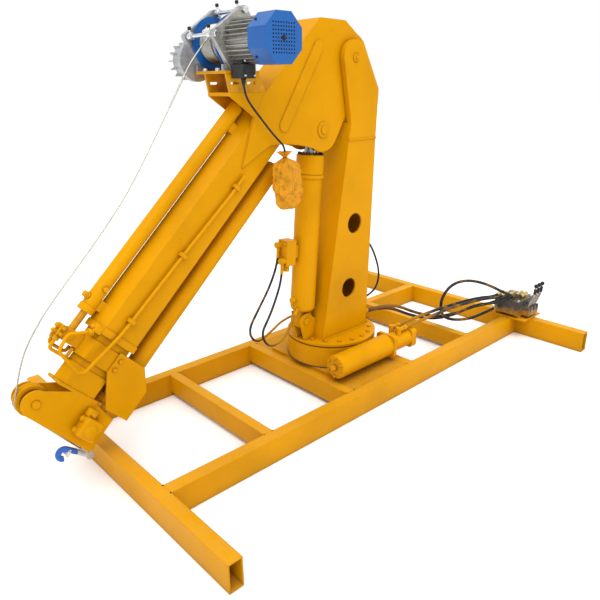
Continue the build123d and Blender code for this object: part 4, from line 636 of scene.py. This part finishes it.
for station in (1.108, 1.132):
    add_bolt(tip_fittings, on_boom(station, manifold_rise, -0.023), near, across=0.014, height=0.01)
    add_bolt(tip_fittings, on_boom(station, manifold_rise + 0.01), above, across=0.016, height=0.014)
turned(
    tip_fittings,
    [(0.041, 0.0), (0.046, 0.002), (0.047, 0.005), (0.047, 0.028), (0.041, 0.032)],
    on_boom(lower_gland - 0.033, lower_rise),
    along,
    steps=36,
)
placed("tip_fittings", tip_fittings, "middle", body_yellow, merge=True)
lug_station = 1.326
lug_rise = -0.088
rod_clamp = bmesh.new()
blocked(rod_clamp, on_boom(1.383, -0.112, -0.0815), (0.084, 0.057, 0.084), bevel=0.009)
turned(
    rod_clamp,
    [(0.0, 0.007), (0.022, 0.007), (0.0255, 0.005), (0.0265, 0.0), (0.0265, -0.004)],
    on_boom(1.387, -0.113, -0.11),
    near,
    steps=36,
)
for station in (1.358, 1.408):
    add_bolt(rod_clamp, on_boom(station, -0.07, -0.082), above, across=0.019, height=0.012)
blocked(rod_clamp, on_boom(lug_station, lug_rise, -0.075), (0.034, 0.03, 0.04), bevel=0.005)
add_bolt(rod_clamp, on_boom(lug_station, lug_rise, -0.09), near, across=0.017, height=0.01)
placed("rod_clamp", rod_clamp, "tip", body_yellow, merge=True)
head_keepers = bmesh.new()
for rise in (0.122, lower_rise):
    spot = on_boom(1.393, rise - 0.032, 0.054)
    keeper(head_keepers, spot, y_way, along, length=0.06, width=0.016, thick=0.006)
placed("head_keepers", head_keepers, "tip", body_yellow)


# Rope winch: cast grey plates tied by zinc rods round a blue flanged drum, a finned aluminium motor
# with a blue pressed fan cover, a black terminal box and a grey cast gearbox, on a yellow welded seat.
def above_height(level, blend=sharp_change):
    def share(tree, place):
        return ranged(tree, height_of(tree, place), level - blend, level + blend)

    return share


def beyond_radius(centre, radius):
    def share(tree, place):
        offset = vectors(tree, "SUBTRACT", place, centre)
        across = vectors(tree, "MULTIPLY", offset, (1, 0, 1))
        reach = vectors(tree, "DISTANCE", across, (0, 0, 0), "Value")
        return ranged(tree, reach, radius - sharp_change, radius + sharp_change)

    return share


winch_axis = Vector((-0.62, 0, 1.727))
blue = (0.01, 0.108, 0.38)
cast = {"colour": (0.36, 0.37, 0.38), "rough": 0.5, "metallic": 0.55}
blue_coat = {"colour": blue, "rough": 0.3, "metallic": 0.0}
seat_paint = above_height(1.6185)
flange_paint = beyond_radius(winch_axis, 0.0712)
finished(split_finish("winch_seat", seat_paint, spray_coat, cast), "winch_frame")
finished(split_finish("drum_coat", flange_paint, cast, blue_coat), "drum")
case_grey = metal("case_grey", (0.43, 0.42, 0.39), rough=0.42, grain=40, metallic=0.7)
finished(case_grey, "winch_motor")
gear_grey = metal("gear_grey", (0.42, 0.43, 0.44), rough=0.5, grain=55, metallic=0.6)
finished(gear_grey, "gearbox")
zinc = metal("zinc_plate", (0.66, 0.67, 0.68), rough=0.28, grain=120)
finished(zinc, "tie_rods")
blue_enamel = enamel("blue_enamel", blue, rough=0.3, edge=0.006, shine=0.3)
finished(blue_enamel, "fan_cover")
black_plastic = moulded(
    "black_plastic",
    tones=(0.012, 0.035),
    patches=(35, 5),
    grain=(600, 2),
    depth=0.0003,
    rough=0.42,
    shine=0.2,
    edge=0.003,
)
finished(black_plastic, "terminal_box", "fan")
gearbox_face = winch_axis + Vector((-0.066, 0.176, -0.066))
winch_bolts = bmesh.new()
for turn in range(8):
    spot = on_ring(gearbox_face, x_way, z_way, radius=0.077, degrees=22.5 + 45 * turn)
    add_bolt(winch_bolts, spot, y_way, across=0.008, height=0.005)
seat_top = 1.618
for foot_x in (-0.07, 0.07):
    for foot_y in (0.0, 0.09):
        spot = (winch_axis.x + foot_x, foot_y, seat_top)
        add_bolt(winch_bolts, spot, z_way, across=0.016, height=0.009)
rod_circle = 0.122
knob_way = (-0.2, 0, 1)
clamp_ring = [(0.0082, -0.012), (0.013, -0.012), (0.014, -0.011)]
clamp_ring += [(0.014, 0.011), (0.013, 0.012), (0.0082, 0.012)]
knob_stem = [(0.0, 0.01), (0.0045, 0.01), (0.0045, 0.026), (0.0, 0.026)]
knob_head = [(0.0, 0.024), (0.0062, 0.024), (0.0075, 0.026), (0.0075, 0.034), (0.006, 0.037), (0.0, 0.038)]
knobs = bmesh.new()
for rod_angle in (78.5, 168.5):
    for clamp_y in (-0.032, 0.104):
        rod_spot = on_ring(winch_axis + y_way * clamp_y, x_way, z_way, rod_circle, rod_angle)
        turned(winch_bolts, clamp_ring, rod_spot, y_way)
        turned(winch_bolts, knob_stem, rod_spot, knob_way, steps=16)
        turned(knobs, knob_head, rod_spot, knob_way, steps=18)
for screw_x in (-0.678, -0.632):
    for screw_z in (1.598, 1.652):
        add_bolt(winch_bolts, (screw_x, -0.17, screw_z), near, across=0.007, height=0.003)
placed("winch_bolts", winch_bolts, "boom", zinc)
cover_low, cover_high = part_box("fan_cover")
cover_middle = (cover_low + cover_high) / 2
hub_spot = (cover_middle.x, cover_low.y, cover_middle.z)
add_bolt(knobs, hub_spot, near, across=0.014, height=0.006)
screw_middle = Vector((cover_middle.x, cover_high.y - 0.02, cover_middle.z))
for turn in range(4):
    screw_spot = on_ring(screw_middle, x_way, z_way, radius=0.0918, degrees=45 + 90 * turn)
    add_bolt(knobs, screw_spot, screw_spot - screw_middle, across=0.009, height=0.004)
placed("clamp_knobs", knobs, "boom", black_plastic)


# Rope: six strands of bright steel wire laid round a core, wound in one layer on the drum.
# From the drum it runs slack along the boom's top, over the head sheave and down to the hook's pin.
def spline_points(name, points, steps):
    mesh = meshed(name, curve(name, [points], "NURBS", steps=steps))
    way = [vert.co.copy() for vert in mesh.vertices]
    bpy.data.meshes.remove(mesh)
    return way


def laid_rope(name, way, diameter, lay=0.05, strands=6):
    strand = diameter * 0.2
    ring = diameter / 2 - strand
    heading = (way[1] - way[0]).normalized()
    side = heading.orthogonal().normalized()
    paths = [[] for _ in range(strands)]
    run = 0.0
    for index, spot in enumerate(way):
        ahead = way[min(index + 1, len(way) - 1)] - way[max(index - 1, 0)]
        turn = heading.rotation_difference(ahead.normalized())
        heading = ahead.normalized()
        side = (turn @ side).normalized()
        if index:
            run += (spot - way[index - 1]).length
        for number in range(strands):
            angle = math.tau * (run / lay + number / strands)
            out = Matrix.Rotation(angle, 3, heading) @ side
            paths[number].append(spot + out * ring)
    return tubes(name, [*paths, way], strand, sides=1)


rope_wire = metal("rope_wire", (0.5, 0.48, 0.42), rough=0.4, grain=300)
rope_diameter = 0.007
rope_smooth = 60
winding_radius = 0.0738
winding_turns = 10
winding_start = 0.0295
winding_pitch = 0.0078
leave_angle = math.radians(134.1065)
turn_points = 16
winding_route = []
for index in range(winding_turns * turn_points + 1):
    angle = leave_angle - math.tau * index / turn_points
    reach = winding_radius / math.cos(math.pi / turn_points)
    drift = winding_start + winding_pitch * index / turn_points
    winding_route.append(winch_axis + Vector((reach * math.cos(angle), drift, reach * math.sin(angle))))
winding_way = spline_points("winding_route", winding_route, steps=5)
winding_mesh = laid_rope("rope_winding_strands", winding_way, rope_diameter)
winding = placed("rope_winding_strands", winding_mesh, "drum", rope_wire, rope_smooth)
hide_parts("rope_winding")

rope_route = [
    (-0.6766, 0.0294, 1.7749),
    (-0.79, 0.0263, 1.665),
    (-0.845, 0.0245, 1.586),
    (-0.94, 0.0212, 1.446),
    (-1.124, 0.0151, 1.184),
    (-1.246, 0.0116, 1.05),
    (-1.352, 0.0087, 0.943),
    (-1.52, 0.0042, 0.781),
    (-1.602, 0.0017, 0.676),
    (-1.643, 0.0, 0.598),
    (-1.6828, 0.0, 0.4696),
    (-1.6916, 0.0, 0.441),
    (-1.6731, -0.0012, 0.4176),
    (-1.4848, -0.0102, 0.179),
    (-1.4598, -0.011, 0.1473),
]
rope_way = spline_points("rope_route", rope_route, steps=24)
rope_mesh = laid_rope("rope_strands", rope_way, rope_diameter)
rope = placed("rope_strands", rope_mesh, None, rope_wire, rope_smooth)
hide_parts("rope")
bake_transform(rope)

# Hook: a forged eye hook in blue paint with a sprung zinc latch, hung on a pin at the rope's end.
# A swaged zinc ferrule closes the rope's loop just above the pin.
hook_blue = {"colour": (0.03, 0.13, 0.5), "rough": 0.3, "metallic": 0.0}
hook_zinc = {"colour": (0.55, 0.56, 0.57), "rough": 0.34, "metallic": 0.9}
bowl_spot = Vector((-1.554, -0.03, 0.19))
finished(split_finish("hook_coat", beyond_radius(bowl_spot, 0.054), hook_blue, hook_zinc), "hook")
finished(zinc, "hook_latch")
rope_end = Vector(rope_route[-1])
rope_tail = (Vector(rope_route[-2]) - rope_end).normalized()
ferrule = bmesh.new()
turned(
    ferrule,
    [(0.0036, 0.0), (0.0068, 0.002), (0.0074, 0.006), (0.0074, 0.024), (0.0066, 0.03), (0.0036, 0.033)],
    rope_end + rope_tail * 0.004,
    rope_tail,
)
placed("rope_ferrule", ferrule, "tip", zinc, merge=True)

# Valve bank: a stack of spool sections on a bracket over the rear beam, with brass-plated unions.
# Three bent levers with steel sleeves, ribbed grips and black knobs stand in slots at its near end.
finished(frame_yellow, "valve_bracket")
bank_cast = {"colour": (0.1, 0.095, 0.085), "rough": 0.5, "metallic": 0.4}
plated = {"colour": (0.62, 0.47, 0.2), "rough": 0.3, "metallic": 0.9}
bank_coat = split_finish("bank_coat", above_height(0.2405), bank_cast, plated)
tree = bank_coat.node_tree
shader = tree.nodes["Principled BSDF"]
place = grow(tree, "ShaderNodeTexCoord").outputs["Object"]
bank_height = above_height(0.185, 0.03)(tree, place)
bank_patch = ramp(tree, cloud(tree, place, 30, 6, 0.7), (0.4, grey(0.35)), (0.6, grey(1.0)))
bank_spray = combined(tree, "SUBTRACT", bank_patch, bank_height, use_clamp=True)
bank_tone = shader.inputs["Base Color"].links[0].from_socket
feed(tree, shader, {"Base Color": mixed(tree, bank_spray, bank_tone, tinted(yellow, 0.85))})
finished(bank_coat, "valve_bank")
lever_bar = {"colour": (0.5, 0.5, 0.5), "rough": 0.3, "metallic": 0.9}
lever_knob = {"colour": (0.015, 0.015, 0.016), "rough": 0.25, "metallic": 0.0}
lever_coat = split_finish("lever_coat", above_height(0.343), lever_bar, lever_knob)
finished(lever_coat, "slew_lever", "luff_lever", "extend_lever")
lever_steel = metal("lever_steel", (0.3, 0.28, 0.25), rough=0.42, grain=90, metallic=0.8)
lever_foot = Vector((0, -0.522, 0.192))
lever_knee = Vector((0, -0.5613, 0.2894))
lever_top = Vector((0, -0.5653, 0.3543))
sleeve_profile = [
    (0.006, 0.032),
    (0.0105, 0.033),
    (0.0115, 0.036),
    (0.0115, 0.048),
    (0.0095, 0.052),
    (0.008, 0.1),
    (0.006, 0.101),
]
grip_profile = [(0.006, 0.008)]
for rib in range(6):
    rib_foot = 0.0085 + 0.006 * rib
    grip_profile += [(0.0088, rib_foot), (0.0096, rib_foot + 0.002), (0.0088, rib_foot + 0.004)]
grip_profile.append((0.006, 0.046))
for lever, lever_x in (("slew_lever", 1.276), ("luff_lever", 1.318), ("extend_lever", 1.36)):
    aside = x_way * lever_x
    sleeve = bmesh.new()
    turned(sleeve, sleeve_profile, lever_foot + aside, lever_knee - lever_foot, steps=24)
    placed(f"{lever}_sleeve", sleeve, lever, lever_steel, merge=True)
    grip = bmesh.new()
    turned(grip, grip_profile, lever_knee + aside, lever_top - lever_knee, steps=24)
    placed(f"{lever}_grip", grip, lever, black_plastic, merge=True)
bank_bolts = bmesh.new()
for bolt_x in (1.236, 1.4):
    for bolt_y in (-0.345, -0.42, -0.48):
        add_bolt(bank_bolts, (bolt_x, bolt_y, 0.24), z_way, across=0.013, height=0.008)
placed("bank_bolts", bank_bolts, "base", zinc)

# Hoses: black rubber hydraulic hoses with crimped sleeves, dusted with overspray near the column.
# Two feed the slew motor, one loops back at the bank, and two swing with the column at one end.
hose_rubber, tree, shader, place = blank("hose_rubber")
spray = ramp(tree, cloud(tree, place, 11, 6, 0.7), (0.52, grey(0.0)), (0.66, grey(0.75)))
for spray_spot, spray_reach in (((0.34, -0.26, 0.3), 0.24), ((-0.3, 0.02, 0.37), 0.22)):
    apart = vectors(tree, "DISTANCE", place, spray_spot, "Value")
    spray = combined(tree, "MAXIMUM", spray, ranged(tree, apart, spray_reach * 0.6, spray_reach, 0.9, 0.0))
bare_rubber = ramp(tree, cloud(tree, place, 50, 4), (0.3, grey(0.01)), (0.8, grey(0.04)))
rubber_tone = mixed(tree, spray, bare_rubber, tinted(yellow, 0.62))
feed(tree, shader, {"Base Color": rubber_tone, "Roughness": 0.5, "Specular IOR Level": 0.15})
relief(tree, shader, cloud(tree, place, 320, 3), depth=0.0005)
hose_diameter = 0.018
hose_smooth = 60


def cord_line(name, points, diameter, material, body):
    line = curve(name, [points], "NURBS", diameter / 2, sides=4, steps=16)
    line.materials.append(material)
    made = bpy.data.objects.new(name, line)
    bpy.context.scene.collection.objects.link(made)
    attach(made, body)
    return made


def laid_hose(name, node, route, diameter, body):
    piece = cord_line(name, route, diameter, hose_rubber, body)
    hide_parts(node)


def crimp(bm, route, end, diameter):
    spot = Vector(route[end])
    way = Vector(route[1] if end == 0 else route[-2]) - spot
    radius = diameter / 2
    profile = [(0.0, 0.0), (1.25, 0.0), (1.25, 0.008), (1.05, 0.009), (1.05, 0.012)]
    profile += [(1.42, 0.013), (1.42, 0.018), (1.34, 0.019), (1.42, 0.02), (1.42, 0.026)]
    profile += [(1.34, 0.027), (1.42, 0.028), (1.42, 0.036), (0.98, 0.039)]
    turned(bm, [(radius * share, reach) for share, reach in profile], spot, way, steps=20)
    nut = radius * 1.5
    cone(bm, facing(spot, way), sides=6, foot=nut, top=nut, start=0.0, depth=0.009)


slew_routes = (
    (
        (0.26, -0.248, 0.28),
        (0.36, -0.248, 0.28),
        (0.52, -0.268, 0.292),
        (0.71, -0.302, 0.3),
        (0.89, -0.33, 0.3),
        (1.04, -0.344, 0.284),
        (1.15, -0.346, 0.26),
        (1.246, -0.346, 0.26),
    ),
    (
        (0.26, -0.296, 0.28),
        (0.36, -0.296, 0.28),
        (0.52, -0.316, 0.292),
        (0.71, -0.332, 0.3),
        (0.89, -0.36, 0.3),
        (1.04, -0.374, 0.284),
        (1.15, -0.376, 0.26),
        (1.246, -0.376, 0.26),
    ),
    (
        (1.33, -0.466, 0.26),
        (1.24, -0.466, 0.26),
        (1.12, -0.432, 0.318),
        (0.985, -0.38, 0.395),
        (0.85, -0.33, 0.44),
        (0.735, -0.292, 0.43),
        (0.668, -0.27, 0.35),
        (0.69, -0.262, 0.238),
        (0.775, -0.275, 0.182),
        (0.905, -0.33, 0.165),
        (1.04, -0.354, 0.178),
        (1.112, -0.362, 0.184),
        (1.183, -0.362, 0.184),
    ),
)
slew_lengths = (0.996, 0.994, 1.388)
bank_loop = 2
motor_crimps = bmesh.new()
bank_crimps = bmesh.new()
for number, (route, length) in enumerate(zip(slew_routes, slew_lengths)):
    laid_hose(f"slew_hose_{number}", "slew_hoses", route, hose_diameter, "base")
    crimp(bank_crimps if number == bank_loop else motor_crimps, route, 0, hose_diameter)
    crimp(bank_crimps, route, -1, hose_diameter)

lift_routes = (
    (
        (0.1976, -0.06, 0.332),
        (0.31, -0.06, 0.332),
        (0.44, -0.106, 0.324),
        (0.58, -0.156, 0.248),
        (0.72, -0.212, 0.2),
        (0.85, -0.274, 0.204),
        (0.97, -0.34, 0.252),
        (1.115, -0.406, 0.242),
        (1.235, -0.436, 0.26),
        (1.33, -0.436, 0.26),
    ),
    (
        (0.1968, -0.024, 0.306),
        (0.31, -0.024, 0.306),
        (0.44, -0.07, 0.298),
        (0.58, -0.12, 0.222),
        (0.72, -0.176, 0.174),
        (0.85, -0.238, 0.178),
        (0.97, -0.304, 0.226),
        (1.073, -0.376, 0.242),
        (1.193, -0.406, 0.26),
        (1.288, -0.406, 0.26),
    ),
)
lift_lengths = (1.236, 1.205)
column_crimps = bmesh.new()
for number, (route, length) in enumerate(zip(lift_routes, lift_lengths)):
    name = f"lift_hose_{number}"
    way = spline_points(name, route, steps=16)
    hose_tube = tubes(name, [way], hose_diameter / 2, sides=4)
    piece = placed(name, hose_tube, None, hose_rubber, hose_smooth)
    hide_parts("lift_hoses")
    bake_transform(piece)
    crimp(column_crimps, route, 0, hose_diameter)
    crimp(bank_crimps, route, -1, hose_diameter)
brass_plate = metal("brass_plate", (0.62, 0.45, 0.17), rough=0.32, grain=80)
placed("bank_crimps", bank_crimps, "base", brass_plate, merge=True)
placed("motor_crimps", motor_crimps, "base", body_yellow, merge=True)

# Thin hoses of the column: two hang in loops from the lift cylinder's valve, one bows out behind the post.
# They are the same black rubber, sprayed over with the column where they lie close to it.
thin_diameter = 0.012
post_route = (
    (-0.3674, 0.017, 0.7909),
    (-0.3723, 0.017, 0.7271),
    (-0.422, 0.024, 0.61),
    (-0.492, 0.032, 0.506),
    (-0.56, 0.04, 0.4),
    (-0.5, 0.05, 0.312),
    (-0.4, 0.06, 0.34),
    (-0.294, 0.066, 0.392),
    (-0.1861, 0.066, 0.392),
)
post_way = spline_points("post_hose", post_route, steps=14)
post_tube = tubes("post_hose", [post_way], thin_diameter / 2, sides=3)
post_hose = placed("post_hose", post_tube, None, hose_rubber, hose_smooth)
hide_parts("column_hoses")
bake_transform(post_hose)
barrel_route = (
    (-0.3732, -0.017, 0.7151),
    (-0.3781, -0.017, 0.6513),
    (-0.418, -0.022, 0.566),
    (-0.47, -0.028, 0.48),
    (-0.535, -0.03, 0.395),
    (-0.478, -0.032, 0.305),
    (-0.375, -0.032, 0.33),
    (-0.322, -0.032, 0.415),
    (-0.283, -0.032, 0.472),
)
rear_route = (
    (0.2105, 0.03, 0.745),
    (0.28, 0.03, 0.745),
    (0.352, 0.032, 0.69),
    (0.414, 0.034, 0.59),
    (0.454, 0.036, 0.48),
    (0.424, 0.038, 0.388),
    (0.3, 0.04, 0.356),
    (0.1984, 0.04, 0.356),
)
laid_hose("barrel_hose", "column_hoses", barrel_route, thin_diameter, "lift_barrel")
laid_hose("rear_hose", "column_hoses", rear_route, thin_diameter, "column")
valve_crimps = bmesh.new()
for crimps, route, end in (
    (column_crimps, post_route, -1),
    (column_crimps, rear_route, 0),
    (column_crimps, rear_route, -1),
    (valve_crimps, post_route, 0),
    (valve_crimps, barrel_route, 0),
    (valve_crimps, barrel_route, -1),
):
    crimp(crimps, route, end, thin_diameter)
placed("valve_crimps", valve_crimps, "lift_barrel", body_yellow, merge=True)
placed("column_crimps", column_crimps, "column", body_yellow, merge=True)

# Hand control: a push-button pendant on a black cable, still in the film bag it was delivered in.
# The bag is gathered and tied round the cable, and hangs plumb beside the boom's root.
cable_route = (
    (-0.655, -0.127, 1.587),
    (-0.655, -0.127, 1.549),
    (-0.64, -0.126, 1.508),
    (-0.603, -0.124, 1.466),
    (-0.563, -0.122, 1.426),
    (-0.518, -0.121, 1.379),
    (-0.472, -0.12, 1.336),
    (-0.433, -0.12, 1.304),
    (-0.433, -0.12, 1.26805),
)
cable_diameter = 0.009
cable = cord_line("pendant_lead", cable_route, cable_diameter, black_plastic, "boom")
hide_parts("pendant_cable")
gland = bmesh.new()
turned(
    gland,
    [(0.0, 0.0), (0.011, 0.0), (0.011, 0.006), (0.0095, 0.008), (0.0085, 0.016), (0.0047, 0.03)],
    cable_route[0],
    (0, 0, -1),
)
placed("cable_gland", gland, "boom", black_plastic, merge=True)

control_middle = Vector((-0.419, -0.12, 1.135))
button = [(0.0, 0.006), (0.007, 0.006), (0.009, 0.004), (0.009, -0.002)]
control = bmesh.new()
eased_box(control, Matrix.Translation(control_middle), (0.058, 0.03, 0.14), bevel=0.007)
for button_rise in (0.037, 0.002, -0.033):
    turned(control, button, control_middle + Vector((0, -0.014, button_rise)), near, steps=20)
placed("hand_control", control, "pendant", black_plastic)

film, tree, shader, place = blank("bag_film")
film_tone = ramp(
    tree,
    cloud(tree, place, 26, 6),
    (0.34, (0.5, 0.215, 0.002)),
    (0.5, (0.72, 0.315, 0.004)),
    (0.68, (0.82, 0.26, 0.008)),
)
feed(tree, shader, {"Base Color": film_tone, "Roughness": 0.3, "Specular IOR Level": 0.22})
relief(tree, shader, cloud(tree, place, 48, 6, 0.7), depth=0.012, strength=0.9)
# Each level of the bag gives its share of the drop, half width, half depth and how deep it is creased.
bag_levels = (
    (-0.1, 0.036, 0.022, 0.38),
    (-0.04, 0.02, 0.015, 0.34),
    (0.0, 0.011, 0.011, 0.15),
    (0.02, 0.0085, 0.0085, 0.12),
    (0.045, 0.016, 0.012, 0.3),
    (0.09, 0.042, 0.02, 0.2),
    (0.14, 0.06, 0.0245, 0.1),
    (0.2, 0.066, 0.025, 0.07),
    (0.3, 0.068, 0.0255, 0.05),
    (0.45, 0.07, 0.0255, 0.05),
    (0.62, 0.074, 0.025, 0.06),
    (0.78, 0.075, 0.0235, 0.07),
    (0.9, 0.064, 0.019, 0.09),
    (0.97, 0.05, 0.012, 0.1),
    (1.0, 0.038, 0.006, 0.0),
)
bag_neck = Vector((-0.433, -0.12, 1.262))
bag_drop = 0.238
bag_lean = 0.024
bag_sides = 72
bag_steps = 44
frill_steps = 4
# The first rows climb the inside of the frill; those between the levels follow down the outside.
bag_rows = [
    (0.0, 0.0062, 0.0062, 0.15),
    (-0.04, 0.0178, 0.0128, 0.34),
    (-0.09, 0.0325, 0.0195, 0.38),
]
for step in range(-frill_steps, bag_steps + 1):
    drop = step / bag_steps
    upper = [level for level in bag_levels if level[0] <= drop][-1]
    lower = [level for level in bag_levels if level[0] >= drop][0]
    share = (drop - upper[0]) / ((lower[0] - upper[0]) or 1.0)
    bag_rows.append((drop, *[first + (last - first) * share for first, last in zip(upper[1:], lower[1:])]))
bag = bmesh.new()
rings = []
for drop, width, depth, crease in bag_rows:
    slack = min(1.0, max(0.0, drop / 0.2))
    ring = []
    for number in range(bag_sides):
        angle = math.tau * number / bag_sides
        fold = 1 + crease * math.sin(9 * angle + 2.1 * math.sin(3 * angle + 5 * drop) + 3 * drop)
        way = Vector((math.cos(angle), math.sin(angle), 0))
        out = Vector((bag_lean * drop + width * way.x * fold, depth * way.y * fold, -bag_drop * drop))
        spot = bag_neck + out
        broad_crumple = 0.02 * (0.45 - abs(noise.noise(spot * 21)))
        fine_crumple = 0.012 * (0.4 - abs(noise.noise(spot * 47)))
        ring.append(bag.verts.new(spot + way * (broad_crumple + fine_crumple) * slack))
    hoop = [bag.edges.new(pair) for pair in sides_of(ring)]
    if rings:
        bmesh.ops.bridge_loops(bag, edges=rings[-1] + hoop)
    rings.append(hoop)
for mouth in (rings[0], rings[-1]):
    bmesh.ops.contextual_create(bag, geom=mouth)
film_bag = placed("film_bag", bag, "pendant", film, smooth_angle=18)
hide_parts("pendant_bag")
bag_tie = bmesh.new()
turned(
    bag_tie,
    [(0.0088, 0.0), (0.0108, 0.001), (0.0112, 0.003), (0.0108, 0.005), (0.0088, 0.006)],
    (-0.4325, -0.12, 1.2542),
    z_way,
)
placed("bag_tie", bag_tie, "pendant", black_plastic, merge=True)

# Studio: a pale floor under a white background, one large soft key light and a softer top light.
# The camera stands where the photographer did, at eye height off the frame's front corner.
floor_mesh = bmesh.new()
bmesh.ops.create_grid(floor_mesh, x_segments=1, y_segments=1, size=40.0)
floor_data = bpy.data.meshes.new("floor")
floor_mesh.to_mesh(floor_data)
floor_mesh.free()
floor = bpy.data.objects.new("floor", floor_data)
floor.location.z = -0.002
bpy.context.scene.collection.objects.link(floor)
pale_floor, tree, shader, place = blank("pale_floor")
floor_tone = ramp(tree, cloud(tree, place, 0.6, 2), (0.3, grey(0.9)), (0.7, grey(0.93)))
feed(tree, shader, {"Base Color": floor_tone, "Roughness": 0.9})
floor_data.materials.append(pale_floor)

world = bpy.data.worlds.new("studio")
world.use_nodes = True
bpy.context.scene.world = world
sky = world.node_tree
rays = grow(sky, "ShaderNodeLightPath").outputs
seen = combined(sky, "MAXIMUM", rays["Is Camera Ray"], rays["Is Transmission Ray"])
seen = combined(sky, "MAXIMUM", seen, rays["Is Glossy Ray"])
fill_light = 0.62
strength = ranged(sky, seen, 0.0, 1.0, fill_light, 1.0)
feed(sky, sky.nodes["Background"], {"Strength": strength, "Color": (1, 1, 1, 1)})
for name, spot, spread, power in (
    ("key_light", (-3.0, -4.2, 6.2), 50, 1.5),
    ("top_light", (0.0, 0.0, 6.5), 60, 1.9),
):
    light = bpy.data.lights.new(name, "SUN")
    light.angle = math.radians(spread)
    light.energy = power
    stand = bpy.data.objects.new(name, light)
    stand.location = spot
    stand.rotation_euler = Vector(spot).to_track_quat("Z", "Y").to_euler()
    bpy.context.scene.collection.objects.link(stand)

camera_data = bpy.data.cameras.new("camera")
camera_data.sensor_width = 36.0
camera_data.lens = 35.249
camera = bpy.data.objects.new("camera", camera_data)
camera_spot = Vector((-2.209795, -2.130266, 1.558537))
right = Vector((0.73192614, -0.6813403, -0.0077145))
up = Vector((0.23895135, 0.2460565, 0.93933937))
back = Vector((-0.63811157, -0.68937043, 0.34290238))
camera_turn = Matrix((right, up, back)).transposed().to_4x4()
camera.matrix_world = Matrix.Translation(camera_spot) @ camera_turn
bpy.context.scene.collection.objects.link(camera)
bpy.context.scene.camera = camera
bpy.context.scene.view_settings.view_transform = "Standard"
